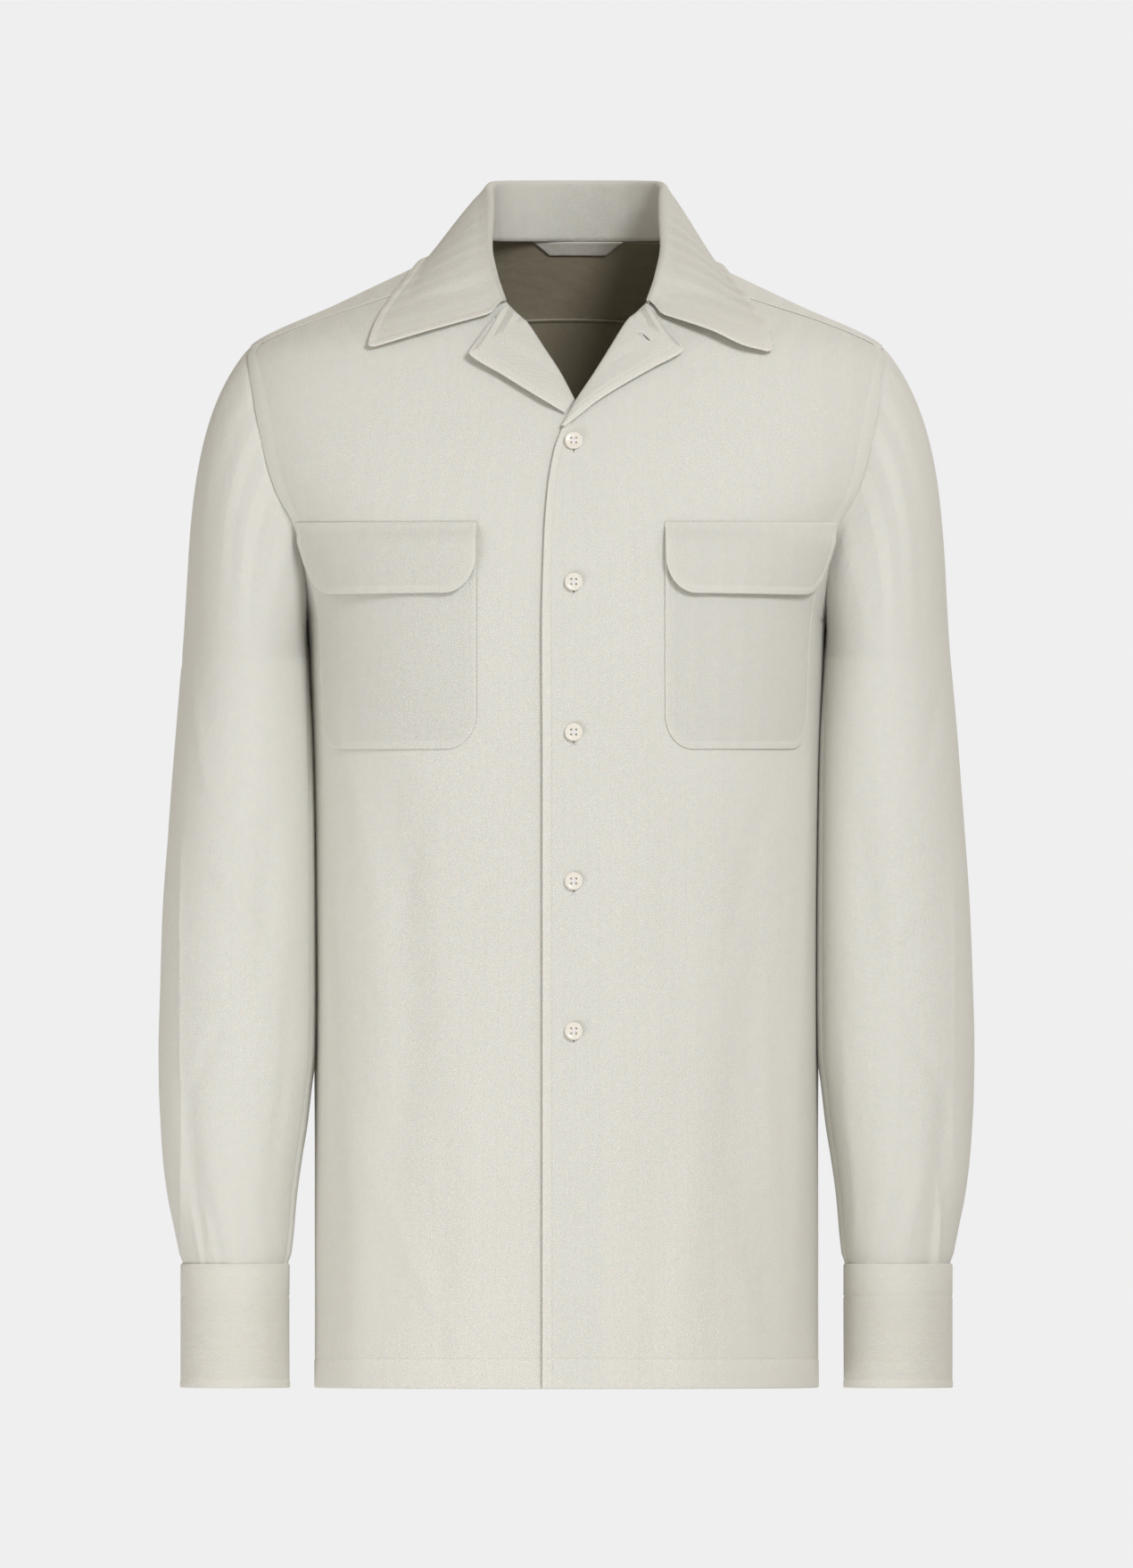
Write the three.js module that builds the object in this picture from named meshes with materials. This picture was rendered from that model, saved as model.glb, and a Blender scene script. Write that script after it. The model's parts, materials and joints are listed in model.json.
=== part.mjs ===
// Camp-collar safari shirt in ivory herringbone cotton, filled out as if worn but hollow.
// Millimetres, +Z up. The front faces -Y and the wearer's left is +X. The origin lies
// between the wearer's shoulders, level with the top of the shoulder line.

import * as THREE from 'three';

// Driving dimensions
const CLOTH = 1.2;
const DOUBLE_CLOTH = 1.6;
const SEAM_GAP = 0.3;
const YOKE_SEAM_GAP = 0.5;
const LAYER_GAP = 0.5;
const HEM_Z = -703;
const UNDERARM_Z = -222;
const SHOULDER_Z = -48;
const ARMHOLE_HALF_DEPTH = 62;
const ARMHOLE_STEP = 15;
const YOKE_FRONT_TURN = 15;
const YOKE_BACK_TURN = 45;
const BACK_YOKE_Z = -33;
const SECTION_POWER = 2.4;
const NECK_CENTRE_X = 6.2;
const OVERLAP_LIFT = CLOTH + 2.5 * LAYER_GAP;
const PATCH_GAP = 0.9;
const LAPEL_SEAT = -0.45;
const CUFF_TOP_Z = -625;
const SLEEVE_END_Z = -624.4;
const SLEEVE_TOP_Z = -245;
const PATCH_FROM_ARMHOLE = 1.5;
const POCKET_WIDTH = 131;
const POCKET_TOP_Z = -168.5;
const POCKET_BOTTOM_Z = -302;
const POCKET_CORNER = 22;
const POCKET_BELLY = 2.2;
const FLAP_WIDTH = 133;
const FLAP_TOP_Z = -159.5;
const FLAP_BOTTOM_Z = -204;
const FLAP_CORNER = 23;
const FLAP_BELLY = 2.4;
const COLLAR_NOTCH_DROP = 8;
const COLLAR_BELLY = 3;
const COLLAR_ARCH = 3.5;
const LAPEL_ROLL = 1.6;
const CUFF_START = 292;
const CUFF_WRAP = 376;
const CUFF_BUTTON_Z = -664;
const CUFF_BUTTON_FROM_END = 8;
const LABEL_THICKNESS = 1;
const BUTTON_RADIUS = 5.7;
const BUTTON_THICKNESS = 2.4;
const BUTTON_HOLE_RADIUS = 0.8;
const BUTTON_HOLE_OFFSET = 1.5;
const BUTTON_SIDES = 20;
const BUTTON_HOLE_SIDES = 6;
const FRONT_BUTTON_X = 4.5;
const FRONT_BUTTON_HEIGHTS = [-109.8, -197.1, -291.2, -384.7, -478.8];

// Level sections of the body. The half-width runs through the side seam, and beside the
// armhole it is where the section would end if it went on round under the sleeve.
const BODY_SECTIONS = [
  { z: -703, halfWidth: 158, front: 139, back: 127 },
  { z: -600, halfWidth: 157.8, front: 134, back: 122 },
  { z: -498, halfWidth: 158.1, front: 129, back: 115 },
  { z: -392, halfWidth: 158.8, front: 127, back: 110 },
  { z: -300, halfWidth: 160.3, front: 129, back: 111 },
  { z: -245, halfWidth: 161.9, front: 131, back: 114 },
  { z: -222, halfWidth: 163.4, front: 131, back: 116 },
  { z: -186, halfWidth: 172.8, front: 131, back: 118 },
  { z: -158, halfWidth: 186.3, front: 128, back: 118 },
  { z: -142, halfWidth: 198, front: 125.5, back: 117.5 },
  { z: -117, halfWidth: 208.2, front: 119.5, back: 116 },
  { z: -90, halfWidth: 212.4, front: 110, back: 112 },
  { z: -74, halfWidth: 210.9, front: 103.5, back: 108.5 },
  { z: -58, halfWidth: 205.9, front: 96, back: 103.5 },
  { z: -48, halfWidth: 197.4, front: 91, back: 99.5 },
  { z: -22, halfWidth: 142.4, front: 75, back: 87 },
  { z: 0, halfWidth: 95.9, front: 57, back: 74 },
  { z: 17.6, halfWidth: 58.6, front: 36, back: 62 },
  { z: 24, halfWidth: 45.1, front: 27, back: 56 },
];

// Soft folds of the body: the place across (degrees from the centre front) at the top and
// bottom of the fold, its heights, how far it stands out (or in), and its half-width.
const BODY_FOLDS = [
  { topTurn: -46, bottomTurn: -42, top: -300, bottom: -610, depth: -3.5, spread: 6 },
  { topTurn: -30, bottomTurn: -20, top: -470, bottom: -700, depth: 2.5, spread: 6 },
  { topTurn: -58, bottomTurn: -55, top: -520, bottom: -720, depth: 2.2, spread: 6 },
  { topTurn: 50, bottomTurn: 46, top: -330, bottom: -640, depth: -3, spread: 7 },
  { topTurn: 34, bottomTurn: 30, top: -520, bottom: -720, depth: 2, spread: 6 },
  { topTurn: 64, bottomTurn: 60, top: -470, bottom: -720, depth: 2, spread: 5 },
  { topTurn: 150, bottomTurn: 146, top: -280, bottom: -660, depth: -3, spread: 7 },
  { topTurn: 205, bottomTurn: 212, top: -300, bottom: -640, depth: -3.5, spread: 7 },
  { topTurn: 178, bottomTurn: 180, top: -430, bottom: -720, depth: 2.5, spread: 8 },
];

// The neckline seen from above, from the top of the roll line to the centre back. The
// half-width is measured from the middle of the neck.
const NECKLINE = [
  { along: 0, halfWidth: 47, y: -74 },
  { along: 0.16, halfWidth: 52, y: -56 },
  { along: 0.36, halfWidth: 56, y: -30 },
  { along: 0.56, halfWidth: 56, y: 2 },
  { along: 0.72, halfWidth: 50, y: 31 },
  { along: 0.86, halfWidth: 33, y: 52 },
  { along: 1, halfWidth: 0, y: 62 },
];
const YOKE_NECK_START = 0.16;
const YOKE_NECK_BACK = 0.62;

// The seam between front and yoke, seen from the front.
const FRONT_YOKE_SEAM = [
  { x: 75, z: -9.5 },
  { x: 106, z: -16.5 },
  { x: 125, z: -22.5 },
  { x: 163, z: -35 },
  { x: 189, z: -46 },
  { x: 197.6, z: -51 },
];

// Where both sides of that seam have their corners, from the neckline to the armhole.
const YOKE_SEAM_PARTS = [0, 0.07, 0.16, 0.28, 0.42, 0.57, 0.72, 0.87, 1];

// The free edge of each front from the hem up, seen from the front: the button edge, then
// the line where the lapel rolls over.
const OVER_FRONT_EDGE = [
  { z: -703, x: -15.1 },
  { z: -313, x: -15.1 },
  { z: -228, x: -15.5 },
  { z: -168, x: -14 },
  { z: -138, x: -11.7 },
  { z: -116, x: -8 },
  { z: -105, x: -4.2 },
  { z: -85, x: 6.2 },
  { z: -68, x: 17.5 },
  { z: -50, x: 28.7 },
  { z: -33, x: 40 },
  { z: -20, x: 52 },
  { z: -8, x: 58 },
];
const UNDER_FRONT_EDGE = [
  { z: -703, x: 23 },
  { z: -125, x: 23 },
  { z: -105, x: 16 },
  { z: -85, x: 6.2 },
  { z: -68, x: -4 },
  { z: -50, x: -15 },
  { z: -34, x: -26 },
  { z: -20, x: -39 },
  { z: -8, x: -47 },
];

// The lapels seen from the front, from the gorge down: the roll line, the outer edge.
const LAPEL_LEFT = [
  { part: 0, rollX: 50, rollZ: -25, edgeX: 58.6, edgeZ: -34.6 },
  { part: 0.12, rollX: 46, rollZ: -28.5, edgeX: 66.5, edgeZ: -43 },
  { part: 0.25, rollX: 40, rollZ: -33, edgeX: 73.6, edgeZ: -51.7 },
  { part: 0.45, rollX: 28.7, rollZ: -50, edgeX: 56, edgeZ: -65.5 },
  { part: 0.65, rollX: 17.5, rollZ: -68, edgeX: 38, edgeZ: -78.5 },
  { part: 0.82, rollX: 6.2, rollZ: -85, edgeX: 17.5, edgeZ: -92 },
  { part: 0.94, rollX: 0.5, rollZ: -95, edgeX: 5.5, edgeZ: -97.5 },
  { part: 1, rollX: -2.6, rollZ: -100.5, edgeX: -1, edgeZ: -101.4 },
];
const LAPEL_RIGHT = [
  { part: 0, rollX: -37, rollZ: -24.8, edgeX: -47.4, edgeZ: -35 },
  { part: 0.13, rollX: -32, rollZ: -29, edgeX: -54, edgeZ: -44 },
  { part: 0.27, rollX: -26, rollZ: -34, edgeX: -61, edgeZ: -53.5 },
  { part: 0.5, rollX: -15, rollZ: -50, edgeX: -41, edgeZ: -66.5 },
  { part: 0.75, rollX: -4, rollZ: -67, edgeX: -20, edgeZ: -79.5 },
  { part: 1, rollX: 4.6, rollZ: -83.5, edgeX: -0.6, edgeZ: -91 },
];

// The fold of the collar, from its front end to the centre back.
const COLLAR_FOLD = [
  { along: 0, halfWidth: 44.8, y: -77.8, z: -20.2, radius: 1.8 },
  { along: 0.14, halfWidth: 49.5, y: -64, z: -3, radius: 2.4 },
  { along: 0.3, halfWidth: 52, y: -42, z: 17, radius: 3 },
  { along: 0.46, halfWidth: 53.2, y: -17, z: 36, radius: 3.2 },
  { along: 0.62, halfWidth: 55.2, y: 10, z: 51, radius: 3.2 },
  { along: 0.76, halfWidth: 52, y: 34, z: 55, radius: 3.2 },
  { along: 0.88, halfWidth: 35, y: 54, z: 55.6, radius: 3.2 },
  { along: 1, halfWidth: 0, y: 62, z: 55.7, radius: 3.2 },
];

// The outer edge of the collar seen from above, from its point to the centre back.
const COLLAR_EDGE = [
  { along: 0, x: 128, y: -78 },
  { along: 0.1, x: 121.5, y: -66 },
  { along: 0.2, x: 112.5, y: -53 },
  { along: 0.3, x: 103.8, y: -40 },
  { along: 0.42, x: 97, y: -20 },
  { along: 0.54, x: 93, y: 0 },
  { along: 0.68, x: 86, y: 26 },
  { along: 0.8, x: 70, y: 50 },
  { along: 0.9, x: 40, y: 67 },
  { along: 1, x: 0, y: 74 },
];
const COLLAR_EDGE_SHIFT = 2.6;

// Sections of the sleeve below the armhole: its outer and inner sides seen from the front,
// its half-depths and the middle of its depth.
const SLEEVE_SECTIONS = [
  { z: -245, outer: 241.3, inner: 162.2, front: 66, back: 68, middle: -10 },
  { z: -300, outer: 246, inner: 160.2, front: 61, back: 63, middle: -17 },
  { z: -358, outer: 250.4, inner: 159.2, front: 58, back: 60, middle: -20 },
  { z: -403, outer: 253.4, inner: 158.8, front: 56, back: 58, middle: -20 },
  { z: -448, outer: 255, inner: 158.6, front: 54, back: 56, middle: -20 },
  { z: -493, outer: 256.2, inner: 158.9, front: 52.5, back: 54, middle: -19 },
  { z: -515, outer: 256, inner: 160.8, front: 51.5, back: 53, middle: -18.5 },
  { z: -538, outer: 255, inner: 163.5, front: 50, back: 52, middle: -18 },
  { z: -560, outer: 253.4, inner: 167, front: 49, back: 50.5, middle: -17.7 },
  { z: -582, outer: 250.6, inner: 170, front: 47.5, back: 49, middle: -17.4 },
  { z: -605, outer: 246, inner: 172, front: 45, back: 46.5, middle: -17.2 },
  { z: -624.4, outer: 242.8, inner: 173.8, front: 42.4, back: 43.6, middle: -17 },
  { z: -703, outer: 242.5, inner: 174, front: 42, back: 43, middle: -17 },
];

// Soft folds of each sleeve, by the turn from its outer side towards its front.
const SLEEVE_FOLDS = [
  { topTurn: 120, bottomTurn: 100, top: -330, bottom: -460, depth: -3, spread: 14 },
  { topTurn: 45, bottomTurn: 60, top: -500, bottom: -640, depth: -2.6, spread: 11 },
  { topTurn: 250, bottomTurn: 230, top: -360, bottom: -520, depth: -3, spread: 14 },
  { topTurn: 256, bottomTurn: 250, top: -540, bottom: -650, depth: -2.6, spread: 12 },
];

// The chest pockets and their flaps, from an x near the centre front to a turn at the side.
const PATCH_POCKETS = [
  { side: -1, name: 'right', innerX: 56.4, outerTurn: 71.5, flapOuterTurn: 69.2 },
  { side: 1, name: 'left', innerX: 61.6, outerTurn: 69.5, flapOuterTurn: 69.2 },
];

// The neck label, wider above than below.
const LABEL_ROWS = [
  { z: 9.2, from: -10.6, to: 25 },
  { z: 13.6, from: -16, to: 30.4 },
  { z: 18, from: -21.6, to: 36 },
];

const COLOURS = {
  body: 0xdfdbcd,
  yoke: 0xdad6c9,
  sleeve: 0xdcd8cb,
  trim: 0xe2ded1,
  label: 0xd9d3c4,
  button: 0xe9e4dc,
};

// Curves and small helpers

const radians = THREE.MathUtils.degToRad;
const lerp = THREE.MathUtils.lerp;
const clamp = THREE.MathUtils.clamp;

function steps(from, to, count) {
  return Array.from({ length: count + 1 }, (_, i) => lerp(from, to, i / count));
}

// A smooth curve through one column of a table, read off at a place in another column. It
// never runs past the rows on either side.
function column(rows, from, to) {
  const sorted = [...rows].sort((a, b) => a[from] - b[from]);
  const places = sorted.map((row) => row[from]);
  const values = sorted.map((row) => row[to]);
  const last = places.length - 1;
  const rises = values.slice(1).map((value, i) => (value - values[i]) / (places[i + 1] - places[i]));
  const slopes = values.map((_, i) => {
    if (i === 0) return rises[0];
    if (i === last) return rises[last - 1];
    if (rises[i - 1] * rises[i] <= 0) return 0;
    return (2 * rises[i - 1] * rises[i]) / (rises[i - 1] + rises[i]);
  });
  return (wanted) => {
    const place = clamp(wanted, places[0], places[last]);
    const i = Math.max(0, Math.min(last - 1, places.findIndex((p) => p >= place) - 1));
    const span = places[i + 1] - places[i];
    const t = (place - places[i]) / span;
    const start = values[i] * (1 + 2 * t) * (1 - t) ** 2 + slopes[i] * span * t * (1 - t) ** 2;
    const end = values[i + 1] * t * t * (3 - 2 * t) + slopes[i + 1] * span * t * t * (t - 1);
    return start + end;
  };
}

// The value between `low` and `high` where a rising function passes zero.
function crossing(low, high, rising) {
  let [from, to] = [low, high];
  for (let i = 0; i < 40; i += 1) {
    const middle = (from + to) / 2;
    if (rising(middle) > 0) to = middle;
    else from = middle;
  }
  return (from + to) / 2;
}

function smoothStep(from, to, value) {
  const t = clamp((value - from) / (to - from), 0, 1);
  return t * t * (3 - 2 * t);
}

// How far the folds of a table push a surface out at a turn and a height.
function foldDepth(folds, turn, z) {
  return folds.reduce((sum, fold) => {
    const part = (fold.top - z) / (fold.top - fold.bottom);
    if (part <= 0 || part >= 1) return sum;
    const middle = lerp(fold.topTurn, fold.bottomTurn, part);
    const away = (((turn - middle + 540) % 360) - 180) / fold.spread;
    return sum + fold.depth * Math.sin(Math.PI * part) ** 0.7 * Math.exp(-away * away);
  }, 0);
}

// The body's surface

const bodyHalfWidth = column(BODY_SECTIONS, 'z', 'halfWidth');
const bodyFront = column(BODY_SECTIONS, 'z', 'front');
const bodyBack = column(BODY_SECTIONS, 'z', 'back');

function bodyPointPlain(turn, z) {
  const angle = radians(turn);
  const depth = Math.cos(angle) > 0 ? bodyFront(z) : bodyBack(z);
  const across = Math.abs(Math.sin(angle)) / bodyHalfWidth(z);
  const forward = Math.abs(Math.cos(angle)) / depth;
  const radius = (across ** SECTION_POWER + forward ** SECTION_POWER) ** (-1 / SECTION_POWER);
  const reach = radius + foldDepth(BODY_FOLDS, turn, z);
  return new THREE.Vector3(reach * Math.sin(angle), -reach * Math.cos(angle), z);
}

function bodyNormal(turn, z) {
  const across = bodyPointPlain(turn + 0.5, z).sub(bodyPointPlain(turn - 0.5, z));
  const up = bodyPointPlain(turn, z + 1).sub(bodyPointPlain(turn, z - 1));
  return across.cross(up).normalize();
}

// A point of the body's surface, moved out by `lift`.
function bodyPoint(turn, z, lift = 0) {
  return bodyPointPlain(turn, z).addScaledVector(bodyNormal(turn, z), lift);
}

// The direction that points out of the body at a place on it or near it.
function outOfBody(point) {
  return bodyNormal(turnAt(point.x, point.y), point.z);
}

// How deep a section of the body is at an x, in front or behind.
function depthAtX(x, z, behind = false) {
  const depth = behind ? bodyBack(z) : bodyFront(z);
  const share = Math.min(0.999, Math.abs(x) / bodyHalfWidth(z));
  return depth * (1 - share ** SECTION_POWER) ** (1 / SECTION_POWER);
}

function turnAt(x, y) {
  return THREE.MathUtils.radToDeg(Math.atan2(x, -y));
}

// The turn at which the front face of the body has a given x.
function turnAtX(x, z) {
  return turnAt(x, -depthAtX(x, z));
}

// How far a place seen from above lies outside the section at a height: 0 is on it.
function outsideSection(x, y, z) {
  const depth = y < 0 ? bodyFront(z) : bodyBack(z);
  const across = Math.abs(x) / bodyHalfWidth(z);
  return across ** SECTION_POWER + (Math.abs(y) / depth) ** SECTION_POWER - 1;
}

// The height of the shoulders over a place seen from above.
function shoulderHeight(x, y) {
  return crossing(-88, 24, (z) => outsideSection(x, y, z));
}

// The same place moved out until it is at least `gap` clear of the body.
function clearOfBody(point, gap) {
  const place = point.clone();
  for (let i = 0; i < 6; i += 1) {
    const z = clamp(place.z, -700, 23.5);
    const nearest = bodyPointPlain(turnAt(place.x, place.y), z);
    const normal = bodyNormal(turnAt(place.x, place.y), z);
    const away = place.clone().sub(nearest).dot(normal);
    if (away >= gap) break;
    place.addScaledVector(normal, gap - away);
  }
  return place;
}

// The armhole, by the turn from its top: positive turns run behind it, negative in front.
function armholePoint(turn) {
  const angle = radians(turn);
  const middle = (SHOULDER_Z + UNDERARM_Z) / 2;
  const z = middle + ((SHOULDER_Z - UNDERARM_Z) / 2) * Math.cos(angle);
  const y = Math.sign(Math.sin(angle)) * ARMHOLE_HALF_DEPTH * Math.abs(Math.sin(angle)) ** 0.9;
  const depth = y < 0 ? bodyFront(z) : bodyBack(z);
  const share = 1 - (Math.abs(y) / depth) ** SECTION_POWER;
  return new THREE.Vector3(bodyHalfWidth(z) * share ** (1 / SECTION_POWER), y, z);
}

// The turn of the armhole or side seam from the centre front, or from the centre back.
function armholeTurn(z, behind) {
  if (z <= UNDERARM_Z) return 90;
  const middle = (SHOULDER_Z + UNDERARM_Z) / 2;
  const cosine = clamp((z - middle) / ((SHOULDER_Z - UNDERARM_Z) / 2), -1, 1);
  const turn = THREE.MathUtils.radToDeg(Math.acos(cosine));
  const point = armholePoint(behind ? turn : -turn);
  return behind ? 180 - turnAt(point.x, point.y) : turnAt(point.x, point.y);
}

// Cloth walls

// A wall of cloth through a grid of points of its outer face: the inner face lies one
// thickness behind it. `facing` is 1 where the columns run anticlockwise round the outside.
// A seamed edge is drawn in by half a seam gap, and `loop` joins the last column to the first.
// `outwards` gives the direction of the thickness where the grid alone doesn't settle it.
function wall({
  points, thickness, facing = 1, loop = false, seams = [], seamGap = SEAM_GAP, outwards = null,
}) {
  const columns = points.length;
  const rows = points[0].length;
  const outer = points.map((line) => line.map((point) => point.clone()));
  const drawIn = (edge, inward) => edge.forEach((point, i) => {
    point.addScaledVector(inward[i].clone().sub(point).normalize(), seamGap / 2);
  });
  if (seams.includes('first')) drawIn(outer[0], points[1]);
  if (seams.includes('last')) drawIn(outer[columns - 1], points[columns - 2]);
  if (seams.includes('bottom')) drawIn(outer.map((line) => line[0]), points.map((line) => line[1]));
  if (seams.includes('top')) {
    drawIn(outer.map((line) => line[rows - 1]), points.map((line) => line[rows - 2]));
  }
  const before = (i) => (loop ? (i + columns - 1) % columns : Math.max(0, i - 1));
  const after = (i) => (loop ? (i + 1) % columns : Math.min(columns - 1, i + 1));
  const normalAt = (i, j) => {
    if (outwards) return outwards(outer[i][j]);
    const across = outer[after(i)][j].clone().sub(outer[before(i)][j]);
    const up = outer[i][Math.min(rows - 1, j + 1)].clone().sub(outer[i][Math.max(0, j - 1)]);
    return across.cross(up).normalize().multiplyScalar(facing);
  };
  const inner = outer.map((line, i) => line.map((point, j) =>
    point.clone().addScaledVector(normalAt(i, j), -thickness)));
  const corners = [...outer.flat(), ...inner.flat()];
  const outerAt = (i, j) => (i % columns) * rows + j;
  const innerAt = (i, j) => columns * rows + outerAt(i, j);
  const triangles = [];
  const addFour = (a, b, c, d) => {
    if (facing > 0) triangles.push(a, b, c, a, c, d);
    else triangles.push(a, c, b, a, d, c);
  };
  const spans = loop ? columns : columns - 1;
  for (let i = 0; i < spans; i += 1) {
    for (let j = 0; j < rows - 1; j += 1) {
      addFour(outerAt(i, j), outerAt(i + 1, j), outerAt(i + 1, j + 1), outerAt(i, j + 1));
      addFour(innerAt(i, j), innerAt(i, j + 1), innerAt(i + 1, j + 1), innerAt(i + 1, j));
    }
    const top = rows - 1;
    addFour(outerAt(i, 0), innerAt(i, 0), innerAt(i + 1, 0), outerAt(i + 1, 0));
    addFour(outerAt(i, top), outerAt(i + 1, top), innerAt(i + 1, top), innerAt(i, top));
  }
  if (!loop) {
    const end = columns - 1;
    for (let j = 0; j < rows - 1; j += 1) {
      addFour(outerAt(0, j), outerAt(0, j + 1), innerAt(0, j + 1), innerAt(0, j));
      addFour(outerAt(end, j), innerAt(end, j), innerAt(end, j + 1), outerAt(end, j + 1));
    }
  }
  const geometry = new THREE.BufferGeometry();
  const positions = corners.flatMap((corner) => [corner.x, corner.y, corner.z]);
  geometry.setAttribute('position', new THREE.Float32BufferAttribute(positions, 3));
  geometry.setIndex(triangles);
  geometry.computeVertexNormals();
  return geometry;
}

const shirt = new THREE.Group();

function addPiece(name, geometry, colour, roughness = 0.9) {
  const finish = new THREE.MeshStandardMaterial({ color: colour, roughness, metalness: 0 });
  const mesh = new THREE.Mesh(geometry, finish);
  mesh.name = name;
  shirt.add(mesh);
  return mesh;
}

// Heights of the rows beside the armhole, so that body and sleeve share the same corners.
function armholeRows(lastTurn) {
  const turns = steps(180, lastTurn, (180 - lastTurn) / ARMHOLE_STEP);
  return turns.map((turn) => armholePoint(turn).z);
}

const SIDE_ROWS = [HEM_Z, -662, -620, -577, -533, -489, -444, -400, -356, -312, -268];

// The neckline

function neckPoint(along, side) {
  const x = NECK_CENTRE_X + side * column(NECKLINE, 'along', 'halfWidth')(along);
  const y = column(NECKLINE, 'along', 'y')(along);
  return new THREE.Vector3(x, y, shoulderHeight(x, y));
}

// The upper edge of a front seen from the front: the neckline, then the yoke seam.
function frontTopEdge(side) {
  const neck = steps(0, YOKE_NECK_START, 3).map((along) => {
    const point = neckPoint(along, side);
    return { x: Math.abs(point.x), z: point.z };
  });
  return column([...neck, ...FRONT_YOKE_SEAM], 'x', 'z');
}

// How far the over-front lies off the body where it covers the under-front.
function overFrontLift(x) {
  return OVERLAP_LIFT * (1 - smoothStep(30, 70, x));
}

// Fronts and back

function frontTurn(side, across, z) {
  const edge = column(side > 0 ? OVER_FRONT_EDGE : UNDER_FRONT_EDGE, 'z', 'x')(z);
  const armhole = z > SHOULDER_Z ? 90 : armholeTurn(z, false);
  return lerp(turnAtX(edge, z), side * armhole, across);
}

// A place on the seam between front and yoke.
function yokeSeamPoint(part, side) {
  const start = neckPoint(YOKE_NECK_START, side);
  if (part === 0) return start;
  const x = lerp(start.x, side * armholePoint(-YOKE_FRONT_TURN).x, part);
  const z = frontTopEdge(side)(Math.abs(x));
  return new THREE.Vector3(x, -depthAtX(x, z), z);
}

// Each column of a front runs from the hem to a place on its upper edge.
function frontColumns(side) {
  const neck = [neckPoint(YOKE_NECK_START / 2, side)];
  const seam = YOKE_SEAM_PARTS.slice(0, -1).map((part) => yokeSeamPoint(part, side));
  const inner = [...neck, ...seam].map((point) => {
    const edgeTurn = frontTurn(side, 0, point.z);
    const armTurn = frontTurn(side, 1, point.z);
    const share = (turnAt(point.x, point.y) - edgeTurn) / (armTurn - edgeTurn);
    return { across: share, top: point.z };
  });
  const edge = { across: 0, top: neckPoint(0, side).z };
  const armhole = { across: 1, top: armholePoint(-YOKE_FRONT_TURN).z };
  return [edge, ...inner, armhole];
}

function frontPanel(side) {
  const rows = [...SIDE_ROWS, ...armholeRows(YOKE_FRONT_TURN)];
  const last = rows[rows.length - 1];
  const points = frontColumns(side).map(({ across, top }) => rows.map((row) => {
    const z = lerp(HEM_Z, top, (row - HEM_Z) / (last - HEM_Z));
    const turn = frontTurn(side, across, z);
    const lift = side > 0 ? overFrontLift(bodyPointPlain(turn, z).x) : 0;
    return bodyPoint(turn, z, lift);
  }));
  return wall({
    points, thickness: CLOTH, facing: side, seams: ['last', 'top'], seamGap: YOKE_SEAM_GAP,
    outwards: outOfBody,
  });
}

// The upper edge of the back, which is the yoke seam seen from behind.
function backTopHeight(x) {
  const end = armholePoint(YOKE_BACK_TURN);
  return BACK_YOKE_Z + (end.z - BACK_YOKE_Z) * (x / end.x) ** 2;
}

function backPanel() {
  const rows = [...SIDE_ROWS, ...armholeRows(YOKE_BACK_TURN)];
  const last = rows[rows.length - 1];
  const turnFor = (across, z) => 180 - lerp(-1, 1, across) * armholeTurn(z, true);
  const points = steps(0, 1, 20).map((across) => {
    const edge = across === 0 || across === 1;
    const top = edge ? last : crossing(-88, 0, (z) => {
      const x = bodyPointPlain(turnFor(across, z), z).x;
      return z - backTopHeight(x);
    });
    return rows.map((row) => {
      const z = lerp(HEM_Z, top, (row - HEM_Z) / (last - HEM_Z));
      return bodyPoint(turnFor(across, z), z);
    });
  });
  return wall({
    points, thickness: CLOTH, facing: -1, seams: ['first', 'last', 'top'], outwards: outOfBody,
  });
}

// The yoke runs over both shoulders. Each station joins a place on the neckline to a place
// on the outer edge, which follows the armholes and the back seam.
function yokeStations() {
  const armholeTurns = steps(-YOKE_FRONT_TURN, YOKE_BACK_TURN, 4);
  const half = armholeTurns.map((turn, i) => {
    const outer = armholePoint(turn);
    const along = lerp(YOKE_NECK_START, YOKE_NECK_BACK, i / 4);
    return { along, outer, seamShare: Math.max(0, 1 - i / 3) };
  });
  const backCount = 8;
  const end = armholePoint(YOKE_BACK_TURN);
  const across = steps(0, 1, backCount).slice(1).map((part) => {
    const x = end.x * (1 - part);
    const z = backTopHeight(x);
    const outer = new THREE.Vector3(x, depthAtX(x, z, true), z);
    return { along: lerp(YOKE_NECK_BACK, 1, part), outer, seamShare: 0 };
  });
  return [...half, ...across];
}

function yokeLine(station, side) {
  const inner = neckPoint(station.along, side);
  const outer = station.outer.clone();
  outer.x *= side;
  const seamStart = neckPoint(YOKE_NECK_START, side);
  const seamEnd = armholePoint(-YOKE_FRONT_TURN);
  return YOKE_SEAM_PARTS.map((part) => {
    const x = lerp(inner.x, outer.x, part);
    const y = lerp(inner.y, outer.y, part);
    const straightY = lerp(seamStart.y, seamEnd.y, part);
    const seamY = yokeSeamPoint(part, side).y;
    const bend = part === 0 || part === 1 ? 0 : (seamY - straightY) * station.seamShare;
    return new THREE.Vector3(x, y + bend, shoulderHeight(x, y + bend));
  });
}

function yoke() {
  const stations = yokeStations();
  const right = stations.map((station) => yokeLine(station, -1));
  const left = stations.slice(0, -1).map((station) => yokeLine(station, 1)).reverse();
  const points = [...right, ...left];
  return wall({
    points, thickness: CLOTH, facing: 1, seams: ['first', 'last', 'top'], seamGap: YOKE_SEAM_GAP,
    outwards: outOfBody,
  });
}

// Collar: a stand that rises from the neckline and a fall that folds over it

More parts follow.
